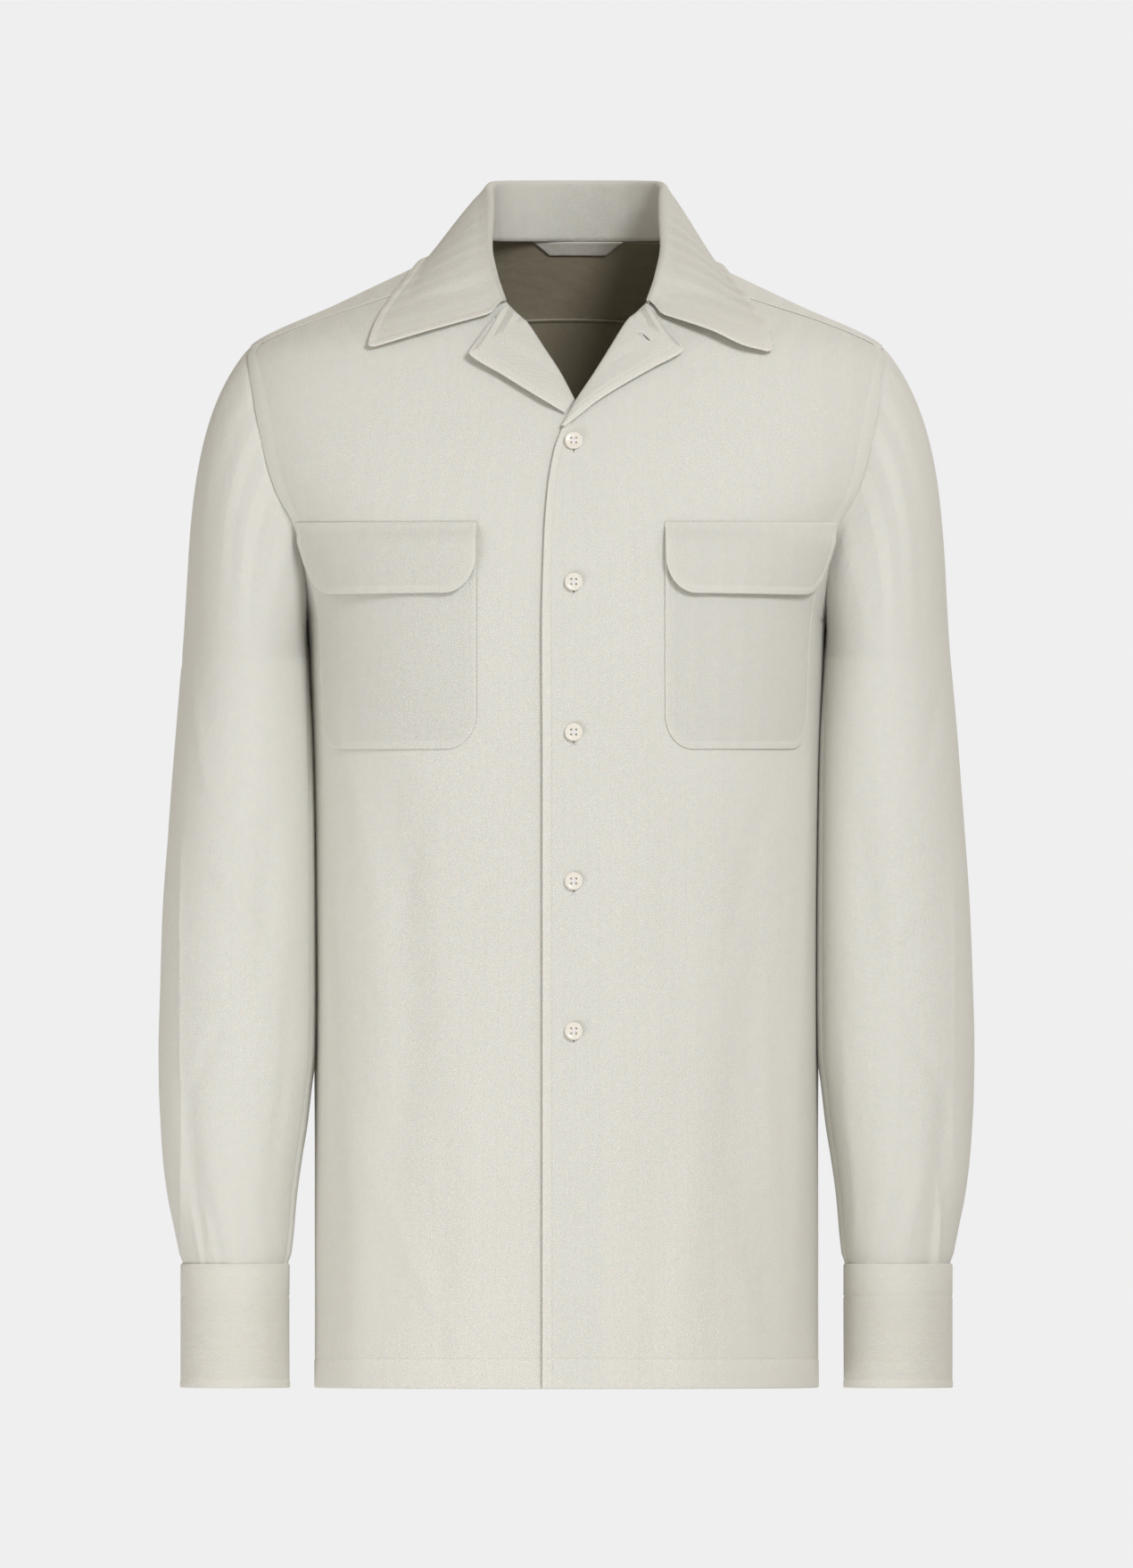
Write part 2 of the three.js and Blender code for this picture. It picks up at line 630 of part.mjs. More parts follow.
function foldTop(along, side) {
  const read = (name) => column(COLLAR_FOLD, 'along', name)(along);
  return new THREE.Vector3(NECK_CENTRE_X + side * read('halfWidth'), read('y'), read('z'));
}

function collarEdge(along, side) {
  const x = COLLAR_EDGE_SHIFT + side * column(COLLAR_EDGE, 'along', 'x')(along);
  const y = column(COLLAR_EDGE, 'along', 'y')(along);
  return new THREE.Vector3(x, y, shoulderHeight(x, y));
}

function collarLine(along, side) {
  const seam = neckPoint(along, side);
  const fold = foldTop(along, side);
  const edge = collarEdge(along, side);
  const near = Math.max(0, along - 0.02);
  const far = Math.min(1, along + 0.02);
  const run = foldTop(far, side).sub(foldTop(near, side)).normalize();
  if (along === 1) run.set(-side, 0, 0);
  const outward = edge.clone().sub(fold);
  outward.addScaledVector(run, -outward.dot(run));
  outward.z *= Math.max(0, 1 - along / 0.3);
  outward.addScaledVector(run, -outward.dot(run)).normalize();
  const up = run.clone().cross(outward).multiplyScalar(-side).normalize();
  const radius = column(COLLAR_FOLD, 'along', 'radius')(along);
  const centre = fold.clone().addScaledVector(up, -radius);
  const base = seam.clone().addScaledVector(up, 0.9).addScaledVector(outward, -DOUBLE_CLOTH / 2);
  const onArc = (turn) => centre.clone()
    .addScaledVector(outward, radius * Math.sin(radians(turn)))
    .addScaledVector(up, radius * Math.cos(radians(turn)));
  const rise = [0, 0.5].map((part) => base.clone().lerp(onArc(-90), part));
  const arc = [-90, -45, 0, 45, 90].map(onArc);
  const start = onArc(90);
  const frontShare = Math.max(0, 1 - along / 0.16);
  const fall = [0.08, 0.25, 0.45, 0.65, 0.85, 1].map((part) => {
    const place = start.clone().lerp(edge, part);
    place.z -= COLLAR_NOTCH_DROP * frontShare * Math.exp(-(((part - 0.2) / 0.22) ** 2));
    const belly = Math.sin(Math.PI * part);
    place.addScaledVector(up, COLLAR_BELLY * belly * (1 - frontShare));
    const arch = COLLAR_ARCH * frontShare * (side > 0 ? 1 : 0.5) * belly;
    const gap = DOUBLE_CLOTH + LAYER_GAP + overFrontLift(Math.abs(place.x)) + arch;
    return clearOfBody(place, gap);
  });
  return [...rise, ...arc, ...fall];
}

function collar() {
  const places = steps(0, 1, 14);
  const right = places.map((along) => collarLine(along, -1));
  const left = places.slice(0, -1).map((along) => collarLine(along, 1)).reverse();
  return wall({ points: [...right, ...left], thickness: DOUBLE_CLOTH, facing: 1 });
}

// Lapels: the top of each front turned over and lying on it

function lapel(rows, side) {
  const parts = [0, 0.13, 0.27, 0.4, 0.55, 0.7, 0.85, 1];
  const widths = [0, 0.12, 0.3, 0.55, 0.8, 1];
  const points = parts.map((part) => widths.map((width) => {
    const read = (name) => column(rows, 'part', name)(part);
    const x = lerp(read('rollX'), read('edgeX'), width);
    const z = lerp(read('rollZ'), read('edgeZ'), width);
    const under = side > 0 ? overFrontLift(x) : 0;
    const seat = width === 0 ? LAPEL_SEAT : LAYER_GAP;
    const roll = LAPEL_ROLL * Math.sin(Math.PI * Math.min(1, width * 1.25)) * (1 - part * 0.7);
    return bodyPoint(turnAtX(x, z), z, under + CLOTH + seat + roll);
  }));
  return wall({ points, thickness: CLOTH, facing: side > 0 ? -1 : 1 });
}

// Sleeves and cuffs

const sleeveColumn = Object.fromEntries(['outer', 'inner', 'front', 'back', 'middle']
  .map((name) => [name, column(SLEEVE_SECTIONS, 'z', name)]));

// A point of the wearer's left sleeve below the armhole, by the turn from its outer side.
function sleeveSection(turn, z) {
  const angle = radians(turn);
  const halfWidth = (sleeveColumn.outer(z) - sleeveColumn.inner(z)) / 2;
  const centre = (sleeveColumn.outer(z) + sleeveColumn.inner(z)) / 2;
  const depth = Math.sin(angle) > 0 ? sleeveColumn.front(z) : sleeveColumn.back(z);
  const fold = foldDepth(SLEEVE_FOLDS, turn, z);
  const x = centre + (halfWidth + fold) * Math.cos(angle);
  const y = sleeveColumn.middle(z) - (depth + fold) * Math.sin(angle);
  return new THREE.Vector3(x, y, z);
}

// The head of the sleeve, from the armhole (part 0) to its first level section (part 1).
function sleeveHead(turn, part) {
  const angle = radians(turn);
  const start = armholePoint(-turn);
  const end = sleeveSection(turn, SLEEVE_TOP_Z);
  const chord = start.distanceTo(end);
  const top = (1 + Math.cos(angle)) / 2;
  const leaving = new THREE.Vector3(lerp(0.3, 0.7, top), -0.25 * Math.sin(angle), -0.76).normalize();
  start.addScaledVector(leaving, 2 * SEAM_GAP);
  const arriving = new THREE.Vector3(0.06 * Math.cos(angle), 0, -1);
  const stay = (1 + 2 * part) * (1 - part) ** 2;
  const leave = part * (1 - part) ** 2 * chord * 0.95;
  const arrive = part * part * (part - 1) * chord;
  return start.multiplyScalar(stay)
    .addScaledVector(leaving, leave)
    .addScaledVector(end, part * part * (3 - 2 * part))
    .addScaledVector(arriving, arrive);
}

function mirrored(point, side) {
  return new THREE.Vector3(point.x * side, point.y, point.z);
}

function sleeve(side) {
  const heights = [-280, -320, -362, -404, -446, -486, -518, -546, -572, -598, SLEEVE_END_Z];
  const points = steps(0, 360 - ARMHOLE_STEP, 360 / ARMHOLE_STEP - 1).map((turn) => [
    ...[0, 0.06, 0.16, 0.3, 0.48, 0.72, 1].map((part) => sleeveHead(turn, part)),
    ...heights.map((z) => sleeveSection(turn, z)),
  ].map((point) => mirrored(point, side)));
  return wall({ points, thickness: CLOTH, facing: side, loop: true });
}

// A point of the sleeve's section, moved out from the middle of the sleeve by `lift`.
function cuffPoint(turn, z, lift) {
  const point = sleeveSection(turn, z);
  const centreX = (sleeveColumn.outer(z) + sleeveColumn.inner(z)) / 2;
  const away = new THREE.Vector3(point.x - centreX, point.y - sleeveColumn.middle(z), 0);
  return point.addScaledVector(away.normalize(), lift);
}

function cuff(side) {
  const points = steps(0, CUFF_WRAP, 26).map((wrap) => {
    const lift = (DOUBLE_CLOTH + LAYER_GAP) * smoothStep(270, 350, wrap);
    const heights = [HEM_Z, -676, -650, CUFF_TOP_Z];
    return heights.map((z) => mirrored(cuffPoint(CUFF_START + wrap, z, lift), side));
  });
  return wall({ points, thickness: DOUBLE_CLOTH, facing: -side });
}

// The bound opening above each cuff, on the back of the sleeve.
function sleeveOpening(side) {
  const turns = [296, 302, 308, 314, 320];
  const heights = [SLEEVE_END_Z + 0.4, -605, -580, -555, -530, -510];
  const points = turns.map((turn) => heights.map((z) =>
    mirrored(cuffPoint(turn, z, CLOTH + LAYER_GAP), side)));
  return wall({ points, thickness: CLOTH, facing: -side });
}

// Pockets and flaps, taken from the front's points and moved out

// How far a rounded lower corner draws the edge in, at a height over the lower edge.
function cornerInset(height, radius) {
  if (height >= radius) return 0;
  return radius - Math.sqrt(radius * radius - (radius - height) ** 2);
}

function chestPatch({ side, innerX, outerTurn, top, bottom, corner, lift, belly, width }) {
  const heights = [0, 0.04, 0.14, 0.32, 0.62, 1].map((part) => bottom + part * corner);
  const rows = [...heights, ...steps(bottom + corner, top, 4).slice(1)];
  const points = steps(0, 1, 10).map((across) => rows.map((z) => {
    const inset = cornerInset(z - bottom, corner) / width;
    const place = lerp(inset, 1 - inset, across);
    const innerTurn = turnAtX(innerX, z);
    const limit = armholeTurn(z, false) - PATCH_FROM_ARMHOLE;
    const turn = lerp(innerTurn, Math.min(outerTurn, limit), place);
    const down = (top - z) / (top - bottom);
    const bulge = belly * Math.sin(Math.PI * place) * Math.sin(Math.PI * Math.min(1, down * 0.95));
    const cover = side > 0 ? overFrontLift(bodyPointPlain(turn, z).x) : 0;
    return bodyPoint(side * turn, z, lift(down) + bulge + cover);
  }));
  return wall({ points, thickness: CLOTH, facing: side });
}

function pocket({ side, innerX, outerTurn }) {
  return chestPatch({
    side, innerX, outerTurn, top: POCKET_TOP_Z, bottom: POCKET_BOTTOM_Z, corner: POCKET_CORNER,
    width: POCKET_WIDTH, belly: POCKET_BELLY, lift: () => CLOTH + PATCH_GAP,
  });
}

// A flap lies on the front at its sewn upper edge and on the pocket below that.
function flap({ side, innerX, flapOuterTurn }) {
  const clearOfPocket = CLOTH + LAYER_GAP + POCKET_BELLY;
  return chestPatch({
    side, innerX: innerX - 0.2, outerTurn: flapOuterTurn, top: FLAP_TOP_Z, bottom: FLAP_BOTTOM_Z,
    corner: FLAP_CORNER, width: FLAP_WIDTH, belly: FLAP_BELLY,
    lift: (down) => CLOTH + PATCH_GAP + clearOfPocket * smoothStep(0, 0.22, down),
  });
}

// Neck label, sewn inside the yoke below the collar

function neckLabel() {
  const points = steps(0, 1, 6).map((across) => LABEL_ROWS.map(({ z, from, to }) => {
    const x = lerp(from, to, across);
    const turn = turnAt(x, depthAtX(x, z, true));
    return bodyPoint(turn, z, -(CLOTH + LAYER_GAP + LABEL_THICKNESS));
  }));
  return wall({ points, thickness: LABEL_THICKNESS, facing: 1 });
}

// Buttons: four-hole discs

function circlePoints(centreX, centreY, radius, sides) {
  return steps(0, 2 * Math.PI, sides).slice(0, -1).map((angle) =>
    new THREE.Vector2(centreX + radius * Math.cos(angle), centreY + radius * Math.sin(angle)));
}

function buttonGeometry() {
  const outline = new THREE.Shape(circlePoints(0, 0, BUTTON_RADIUS, BUTTON_SIDES));
  for (const [across, up] of [[1, 1], [-1, 1], [-1, -1], [1, -1]]) {
    const [x, y] = [across * BUTTON_HOLE_OFFSET, up * BUTTON_HOLE_OFFSET];
    outline.holes.push(new THREE.Path(circlePoints(x, y, BUTTON_HOLE_RADIUS, BUTTON_HOLE_SIDES)));
  }
  return new THREE.ExtrudeGeometry(outline, { depth: BUTTON_THICKNESS, bevelEnabled: false, steps: 1 });
}

// A button whose back rests just off a place on the cloth, facing along `normal`.
function addButton(name, seat, normal) {
  const mesh = addPiece(name, buttonGeometry(), COLOURS.button, 0.3);
  mesh.quaternion.setFromUnitVectors(new THREE.Vector3(0, 0, 1), normal);
  mesh.position.copy(seat).addScaledVector(normal, SEAM_GAP + 0.1);
}

function addFrontButtons() {
  FRONT_BUTTON_HEIGHTS.forEach((z, i) => {
    const turn = turnAtX(FRONT_BUTTON_X, z);
    const normal = bodyNormal(turn, z);
    addButton(`button_front_${i + 1}`, bodyPoint(turn, z, overFrontLift(FRONT_BUTTON_X)), normal);
  });
}

function addCuffButton(side, name) {
  const turn = CUFF_START + CUFF_WRAP - CUFF_BUTTON_FROM_END;
  const lift = DOUBLE_CLOTH + LAYER_GAP + 0.2;
  const seat = mirrored(cuffPoint(turn, CUFF_BUTTON_Z, lift), side);
  const across = cuffPoint(turn + 1, CUFF_BUTTON_Z, lift).sub(cuffPoint(turn - 1, CUFF_BUTTON_Z, lift));
  const normal = new THREE.Vector3(0, 0, 1).cross(across).normalize();
  if (normal.y < 0) normal.negate();
  addButton(name, seat, mirrored(normal, side));
}

// Assembly

addPiece('back', backPanel(), COLOURS.body);
addPiece('yoke', yoke(), COLOURS.yoke);
addPiece('front_right', frontPanel(-1), COLOURS.body);
addPiece('front_left', frontPanel(1), COLOURS.body);
addPiece('collar', collar(), COLOURS.trim);
addPiece('lapel_right', lapel(LAPEL_RIGHT, -1), COLOURS.trim);
addPiece('lapel_left', lapel(LAPEL_LEFT, 1), COLOURS.trim);
for (const [name, side] of [['right', -1], ['left', 1]]) {
  addPiece(`sleeve_${name}`, sleeve(side), COLOURS.sleeve);
  addPiece(`cuff_${name}`, cuff(side), COLOURS.trim);
  addPiece(`sleeve_opening_${name}`, sleeveOpening(side), COLOURS.trim);
  addCuffButton(side, `button_cuff_${name}`);
}
for (const patch of PATCH_POCKETS) {
  addPiece(`pocket_${patch.name}`, pocket(patch), COLOURS.body);
  addPiece(`pocket_flap_${patch.name}`, flap(patch), COLOURS.trim);
}
addPiece('neck_label', neckLabel(), COLOURS.label);
addFrontButtons();

export default shirt;
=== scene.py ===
# %% [markdown]
# A safari shirt in ivory herringbone cotton. It is filled out as if worn, but hollow, so
# every piece of cloth is a thin shell with air behind it. The CAD model already has each
# piece at its real size. Here each one is made again, finer, on the same surfaces, with
# creases, seams, stitches and a weave. All sizes in the tables are in millimetres.

# %% Load the frame
import json
import math

import bmesh
import bpy
import numpy as np
from mathutils import Matrix, Vector

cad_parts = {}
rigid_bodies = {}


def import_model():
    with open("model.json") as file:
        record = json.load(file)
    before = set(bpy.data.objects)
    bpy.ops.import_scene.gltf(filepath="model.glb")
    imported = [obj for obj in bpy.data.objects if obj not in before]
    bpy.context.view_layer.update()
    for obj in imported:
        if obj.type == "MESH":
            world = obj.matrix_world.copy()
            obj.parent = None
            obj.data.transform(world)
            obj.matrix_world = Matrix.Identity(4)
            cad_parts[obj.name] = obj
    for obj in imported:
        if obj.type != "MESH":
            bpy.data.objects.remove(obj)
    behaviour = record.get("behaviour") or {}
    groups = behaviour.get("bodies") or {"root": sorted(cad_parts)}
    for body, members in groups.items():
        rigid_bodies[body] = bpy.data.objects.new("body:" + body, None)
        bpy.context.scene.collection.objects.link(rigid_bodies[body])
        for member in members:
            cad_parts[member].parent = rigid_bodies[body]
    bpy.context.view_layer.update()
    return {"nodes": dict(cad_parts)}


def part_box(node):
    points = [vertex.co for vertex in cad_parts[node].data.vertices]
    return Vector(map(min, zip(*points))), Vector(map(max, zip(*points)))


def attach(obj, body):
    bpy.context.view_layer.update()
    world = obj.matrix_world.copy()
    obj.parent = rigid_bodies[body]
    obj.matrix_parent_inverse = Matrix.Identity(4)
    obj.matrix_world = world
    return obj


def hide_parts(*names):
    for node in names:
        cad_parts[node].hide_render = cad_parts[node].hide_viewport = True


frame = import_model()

MM = 0.001
print("frame", len(frame["nodes"]), "nodes")

# %% [markdown]
# A garment's shape is easier to say in short tables than in points: how wide and deep it is
# at a few heights. A smooth curve through each column gives every size in between. The
# curve must not overshoot, or the cloth would bulge between two rows, so its slopes are
# the harmonic means of the rises on either side.

# %% Tables and the curves through them
def table(head, *rows):
    return [dict(zip(head.split(), row)) for row in rows]


def column(rows, place, value):
    xs, ys = np.array(sorted((row[place], row[value]) for row in rows), float).T
    rise = np.diff(ys) / np.diff(xs)
    product = rise[:-1] * rise[1:]
    total = np.where(product > 0, rise[:-1] + rise[1:], 1)
    inner = np.where(product > 0, 2 * product / total, 0)
    slope = np.concatenate([rise[:1], inner, rise[-1:]])

    def read(at):
        at = np.clip(at, xs[0], xs[-1])
        i = np.clip(np.searchsorted(xs, at) - 1, 0, len(xs) - 2)
        span = xs[i + 1] - xs[i]
        t = (at - xs[i]) / span
        start = ys[i] * (1 + 2 * t) * (1 - t) ** 2 + slope[i] * span * t * (1 - t) ** 2
        end = ys[i + 1] * t * t * (3 - 2 * t) + slope[i + 1] * span * t * t * (t - 1)
        return start + end

    return read


def lerp(a, b, t):
    return a + (b - a) * t


def smooth_step(low, high, value):
    t = np.clip((value - low) / (high - low), 0, 1)
    return t * t * (3 - 2 * t)


def unit(vectors):
    return vectors / np.maximum(np.linalg.norm(vectors, axis=-1, keepdims=True), 1e-9)


def stack(x, y, z):
    return np.stack(np.broadcast_arrays(x, y, z), axis=-1).astype(float)


# %% [markdown]
# The body of the shirt is one closed surface: at each height a rounded section, wider than
# it is deep. Fronts, back and yoke are patches of it, and pockets, flaps and lapels are its
# points moved out. So whatever crease the body gets, everything that lies on it follows.

# %% Widths and depths of the body
HEM_Z, UNDERARM_Z, SHOULDER_Z = -703, -222, -48
SECTION_POWER = 2.4    # 2 would make each section an ellipse, and more makes it squarer
BODY = table(
    "z half_width front back",
    (-703, 158, 139, 127), (-600, 157.8, 134, 122), (-498, 158.1, 129, 115),
    (-392, 158.8, 127, 110), (-300, 160.3, 129, 111), (-245, 161.9, 131, 114),
    (-222, 163.4, 131, 116), (-186, 172.8, 131, 118), (-158, 186.3, 128, 118),
    (-142, 198, 125.5, 117.5), (-117, 208.2, 119.5, 116), (-90, 212.4, 110, 112),
    (-74, 210.9, 103.5, 108.5), (-58, 205.9, 96, 103.5), (-48, 197.4, 91, 99.5),
    (-22, 142.4, 75, 87), (0, 95.9, 57, 74), (17.6, 58.6, 36, 62), (24, 45.1, 27, 56),
)
half_width = column(BODY, "z", "half_width")
front_depth = column(BODY, "z", "front")
back_depth = column(BODY, "z", "back")
print("body is", round(2 * float(half_width(-392))), "mm wide at the waist")

# %% [markdown]
# Worn cloth hangs in soft folds. They could be sculpted, but a row in a table for each is
# easier to move: where it starts and ends, how deep and how wide it is. Turns are degrees
# round the body from the centre front towards the wearer's left. The large folds are in
# the CAD solids as well, and the creases are too slight for them.

# %% Folds and creases of the body
BODY_FOLDS = table(
    "top_turn bottom_turn top bottom depth spread",
    (-46, -42, -300, -610, -3.5, 6), (-30, -20, -470, -700, 2.5, 6),
    (-58, -55, -520, -720, 2.2, 6), (50, 46, -330, -640, -3, 7),
    (34, 30, -520, -720, 2, 6), (64, 60, -470, -720, 2, 5),
    (150, 146, -280, -660, -3, 7), (205, 212, -300, -640, -3.5, 7),
    (178, 180, -430, -720, 2.5, 8),
)
CREASE_SHARE = 0.7
BODY_CREASES = table(
    "top_turn bottom_turn top bottom depth spread",
    (-52, -22, -560, -706, 1.5, 3.2), (-36, -49, -318, -452, -1.1, 2.6),
    (-66, -50, -250, -420, 1.0, 2.8), (-18, -24, -330, -560, 0.7, 2.4),
    (-72, -64, -330, -620, -1.4, 3.4), (-34, -30, -590, -712, -1.2, 2.2),
    (-12, -16, -520, -690, 0.6, 2.0), (22, 27, -330, -600, 0.7, 2.6),
    (58, 40, -300, -470, -1.0, 2.8), (72, 66, -260, -560, 1.3, 3.2),
    (40, 52, -560, -712, 1.1, 2.6), (26, 20, -600, -712, -0.9, 2.2),
    (54, 57, -430, -690, 1.2, 2.4), (16, 13, -130, -300, 0.5, 2.2),
    (-60, -30, -92, -150, 0.8, 3.0), (58, 34, -96, -150, 0.7, 3.0),
    (-74, -52, -150, -118, -0.9, 2.6), (110, 134, -250, -430, 1.3, 3.4),
    (128, 120, -420, -690, 1.6, 3.6), (166, 170, -200, -520, -1.2, 3.2),
    (190, 196, -240, -600, 1.3, 3.4), (224, 236, -230, -470, 1.2, 3.0),
    (240, 232, -470, -700, 1.6, 3.8), (158, 162, -520, -710, -1.3, 3.0),
    (200, 196, -560, -712, 1.4, 3.0), (140, 152, -120, -260, 0.9, 3.6),
    (218, 208, -130, -270, -0.9, 3.6),
)


def fold_depth(rows, turn, z):
    total = np.zeros(np.broadcast(turn, z).shape)
    for number, row in enumerate(rows):
        part = np.clip((row["top"] - z) / (row["top"] - row["bottom"]), 0, 1)
        wander = 0.25 * row["spread"] * np.sin(z / 41 + 1.9 * number)
        middle = lerp(row["top_turn"], row["bottom_turn"], part) + wander
        away = ((turn - middle + 540) % 360 - 180) / row["spread"]
        total = total + row["depth"] * np.sin(np.pi * part) ** 0.7 * np.exp(-away * away)
    return total


def ripple(a, b, seed):
    """The slight unevenness of washed cotton, about 1 high, for places a and b in mm."""
    slow = np.sin(a / 37 + seed) * np.sin(b / 53 + 1.7 * seed)
    quick = np.sin((a + 0.6 * b) / 19 + 2.3 * seed) * np.sin((a - b) / 43 + 0.7 * seed)
    return 0.6 * slow + 0.4 * quick


print(len(BODY_FOLDS), "folds and", len(BODY_CREASES), "creases on the body")

# %% [markdown]
# A place on the body is a turn and a height. From those come the point itself, the
# direction out of the cloth there, and points lifted off it, which is how everything that
# lies on a panel is placed.

# %% Points on the body
TURN_LENGTH = 2.4    # about how many mm of cloth go with one degree of turn


def body_plain(turn, z):
    angle = np.radians(turn)
    depth = np.where(np.cos(angle) > 0, front_depth(z), back_depth(z))
    across = np.abs(np.sin(angle)) / half_width(z)
    forward = np.abs(np.cos(angle)) / depth
    radius = (across ** SECTION_POWER + forward ** SECTION_POWER) ** (-1 / SECTION_POWER)
    radius = radius + fold_depth(BODY_FOLDS, turn, z)
    radius = radius + CREASE_SHARE * fold_depth(BODY_CREASES, turn, z)
    radius = radius + 0.35 * ripple(turn * TURN_LENGTH, z, 1.0) * smooth_step(-20, -60, z)
    return stack(radius * np.sin(angle), -radius * np.cos(angle), z)


def body_normal(turn, z):
    across = body_plain(turn + 0.4, z) - body_plain(turn - 0.4, z)
    up = body_plain(turn, z + 1.0) - body_plain(turn, z - 1.0)
    return unit(np.cross(across, up))


def on_body(turn, z, lift=0.0):
    return body_plain(turn, z) + body_normal(turn, z) * np.asarray(lift)[..., None]


def turn_at(x, y):
    return np.degrees(np.arctan2(x, -y))


def turn_at_x(x, z):
    """The turn at which the front of the body has a given x."""
    share = np.minimum(0.999, np.abs(x) / half_width(z))
    return turn_at(x, -front_depth(z) * (1 - share ** SECTION_POWER) ** (1 / SECTION_POWER))


def crossing(low, high, rising):
    """Where each of many rising functions passes zero."""
    for _ in range(36):
        middle = (low + high) / 2
        above = rising(middle) > 0
        low, high = np.where(above, low, middle), np.where(above, middle, high)
    return (low + high) / 2


def shoulder_height(x, y):
    """The height of the shoulders over places seen from above."""
    def outside(z):
        depth = np.where(y < 0, front_depth(z), back_depth(z))
        across, along = np.abs(x) / half_width(z), np.abs(y) / depth
        return across ** SECTION_POWER + along ** SECTION_POWER - 1
    shape = np.broadcast(x, y).shape
    return crossing(np.full(shape, -88.0), np.full(shape, 24.0), outside)


def clear_of_body(points, gap):
    """The same points, moved out where they are nearer to the body than the gap."""
    for _ in range(6):
        turn, z = turn_at(points[..., 0], points[..., 1]), np.clip(points[..., 2], -700, 23.5)
        normal = body_normal(turn, z)
        away = ((points - body_plain(turn, z)) * normal).sum(axis=-1)
        points = points + normal * np.maximum(0, gap - away)[..., None]
    return points


print("the chest in front lies at y", round(float(on_body(0, -200)[1])), "mm")

# %% [markdown]
# The armhole is an oval on the side of the body. Both the body's panels and the sleeve
# head start from it, so it is written once.

# %% The armhole
ARMHOLE_HALF_DEPTH = 62
ARMHOLE_MIDDLE = (SHOULDER_Z + UNDERARM_Z) / 2
ARMHOLE_HALF_HEIGHT = (SHOULDER_Z - UNDERARM_Z) / 2
YOKE_FRONT_TURN, YOKE_BACK_TURN = 15, 45


def armhole_point(turn):
    """A place on the wearer's left armhole, by the turn from its top: behind is positive."""
    angle = np.radians(turn)
    z = ARMHOLE_MIDDLE + ARMHOLE_HALF_HEIGHT * np.cos(angle)
    y = np.sign(np.sin(angle)) * ARMHOLE_HALF_DEPTH * np.abs(np.sin(angle)) ** 0.9
    depth = np.where(y < 0, front_depth(z), back_depth(z))
    share = np.maximum(0, 1 - (np.abs(y) / depth) ** SECTION_POWER)
    return stack(half_width(z) * share ** (1 / SECTION_POWER), y, z)


def armhole_turn(z, behind):
    """The turn of the armhole, or of the side seam below it, from the centre of a panel."""
    cosine = np.clip((z - ARMHOLE_MIDDLE) / ARMHOLE_HALF_HEIGHT, -1, 1)
    yoke_turn = YOKE_BACK_TURN if behind else YOKE_FRONT_TURN
    turn = np.maximum(np.degrees(np.arccos(cosine)), yoke_turn)
    point = armhole_point(turn if behind else -turn)
    seam = turn_at(point[..., 0], point[..., 1])
    seam = 180 - seam if behind else seam
    return np.where(z <= UNDERARM_Z, 90.0, seam)


print("armholes are", 2 * ARMHOLE_HALF_HEIGHT, "mm high")

# %% [markdown]
# Ivory cotton in a herringbone weave: fine slanting lines that change direction in narrow
# bands. It could be an image texture, but lines worked out from the piece's own UV map, in
# real metres, stay sharp and follow every fold. The group below gives the height of the
# weave and a mask of its hollows, where the cotton paints shade between the lines, and each
# cloth places it with its own line spacing.

# %% The weave as a shader group
def add_node(tree, kind, **settings):
    node = tree.nodes.new(kind)
    for name, value in settings.items():
        setattr(node, name, value)
    return node


def dialled(node, values):
    """The same node, with some of its sockets set."""
    for name, value in values.items():
        node.inputs[name].default_value = value
    return node


def feed(tree, socket, value):
    """Joins an output to a socket, or sets the socket to a number or a colour."""
    if hasattr(value, "is_output"):
        tree.links.new(value, socket)
    else:
        socket.default_value = value


def maths(tree, operation, *values):
    node = add_node(tree, "ShaderNodeMath", operation=operation)
    for socket, value in zip(node.inputs, values):
        feed(tree, socket, value)
    return node.outputs[0]


def new_group(name, inputs, outputs):
    group = bpy.data.node_groups.new(name, "ShaderNodeTree")
    for label, kind, value in inputs:
        socket = group.interface.new_socket(label, in_out="INPUT", socket_type=kind)
        if value is not None:
            socket.default_value = value
    for label, kind in outputs:
        group.interface.new_socket(label, in_out="OUTPUT", socket_type=kind)
    return group, group.nodes.new("NodeGroupInput"), group.nodes.new("NodeGroupOutput")


LINE_SLANT = 1.15
SLUB_SCALE = (900, 160, 1)


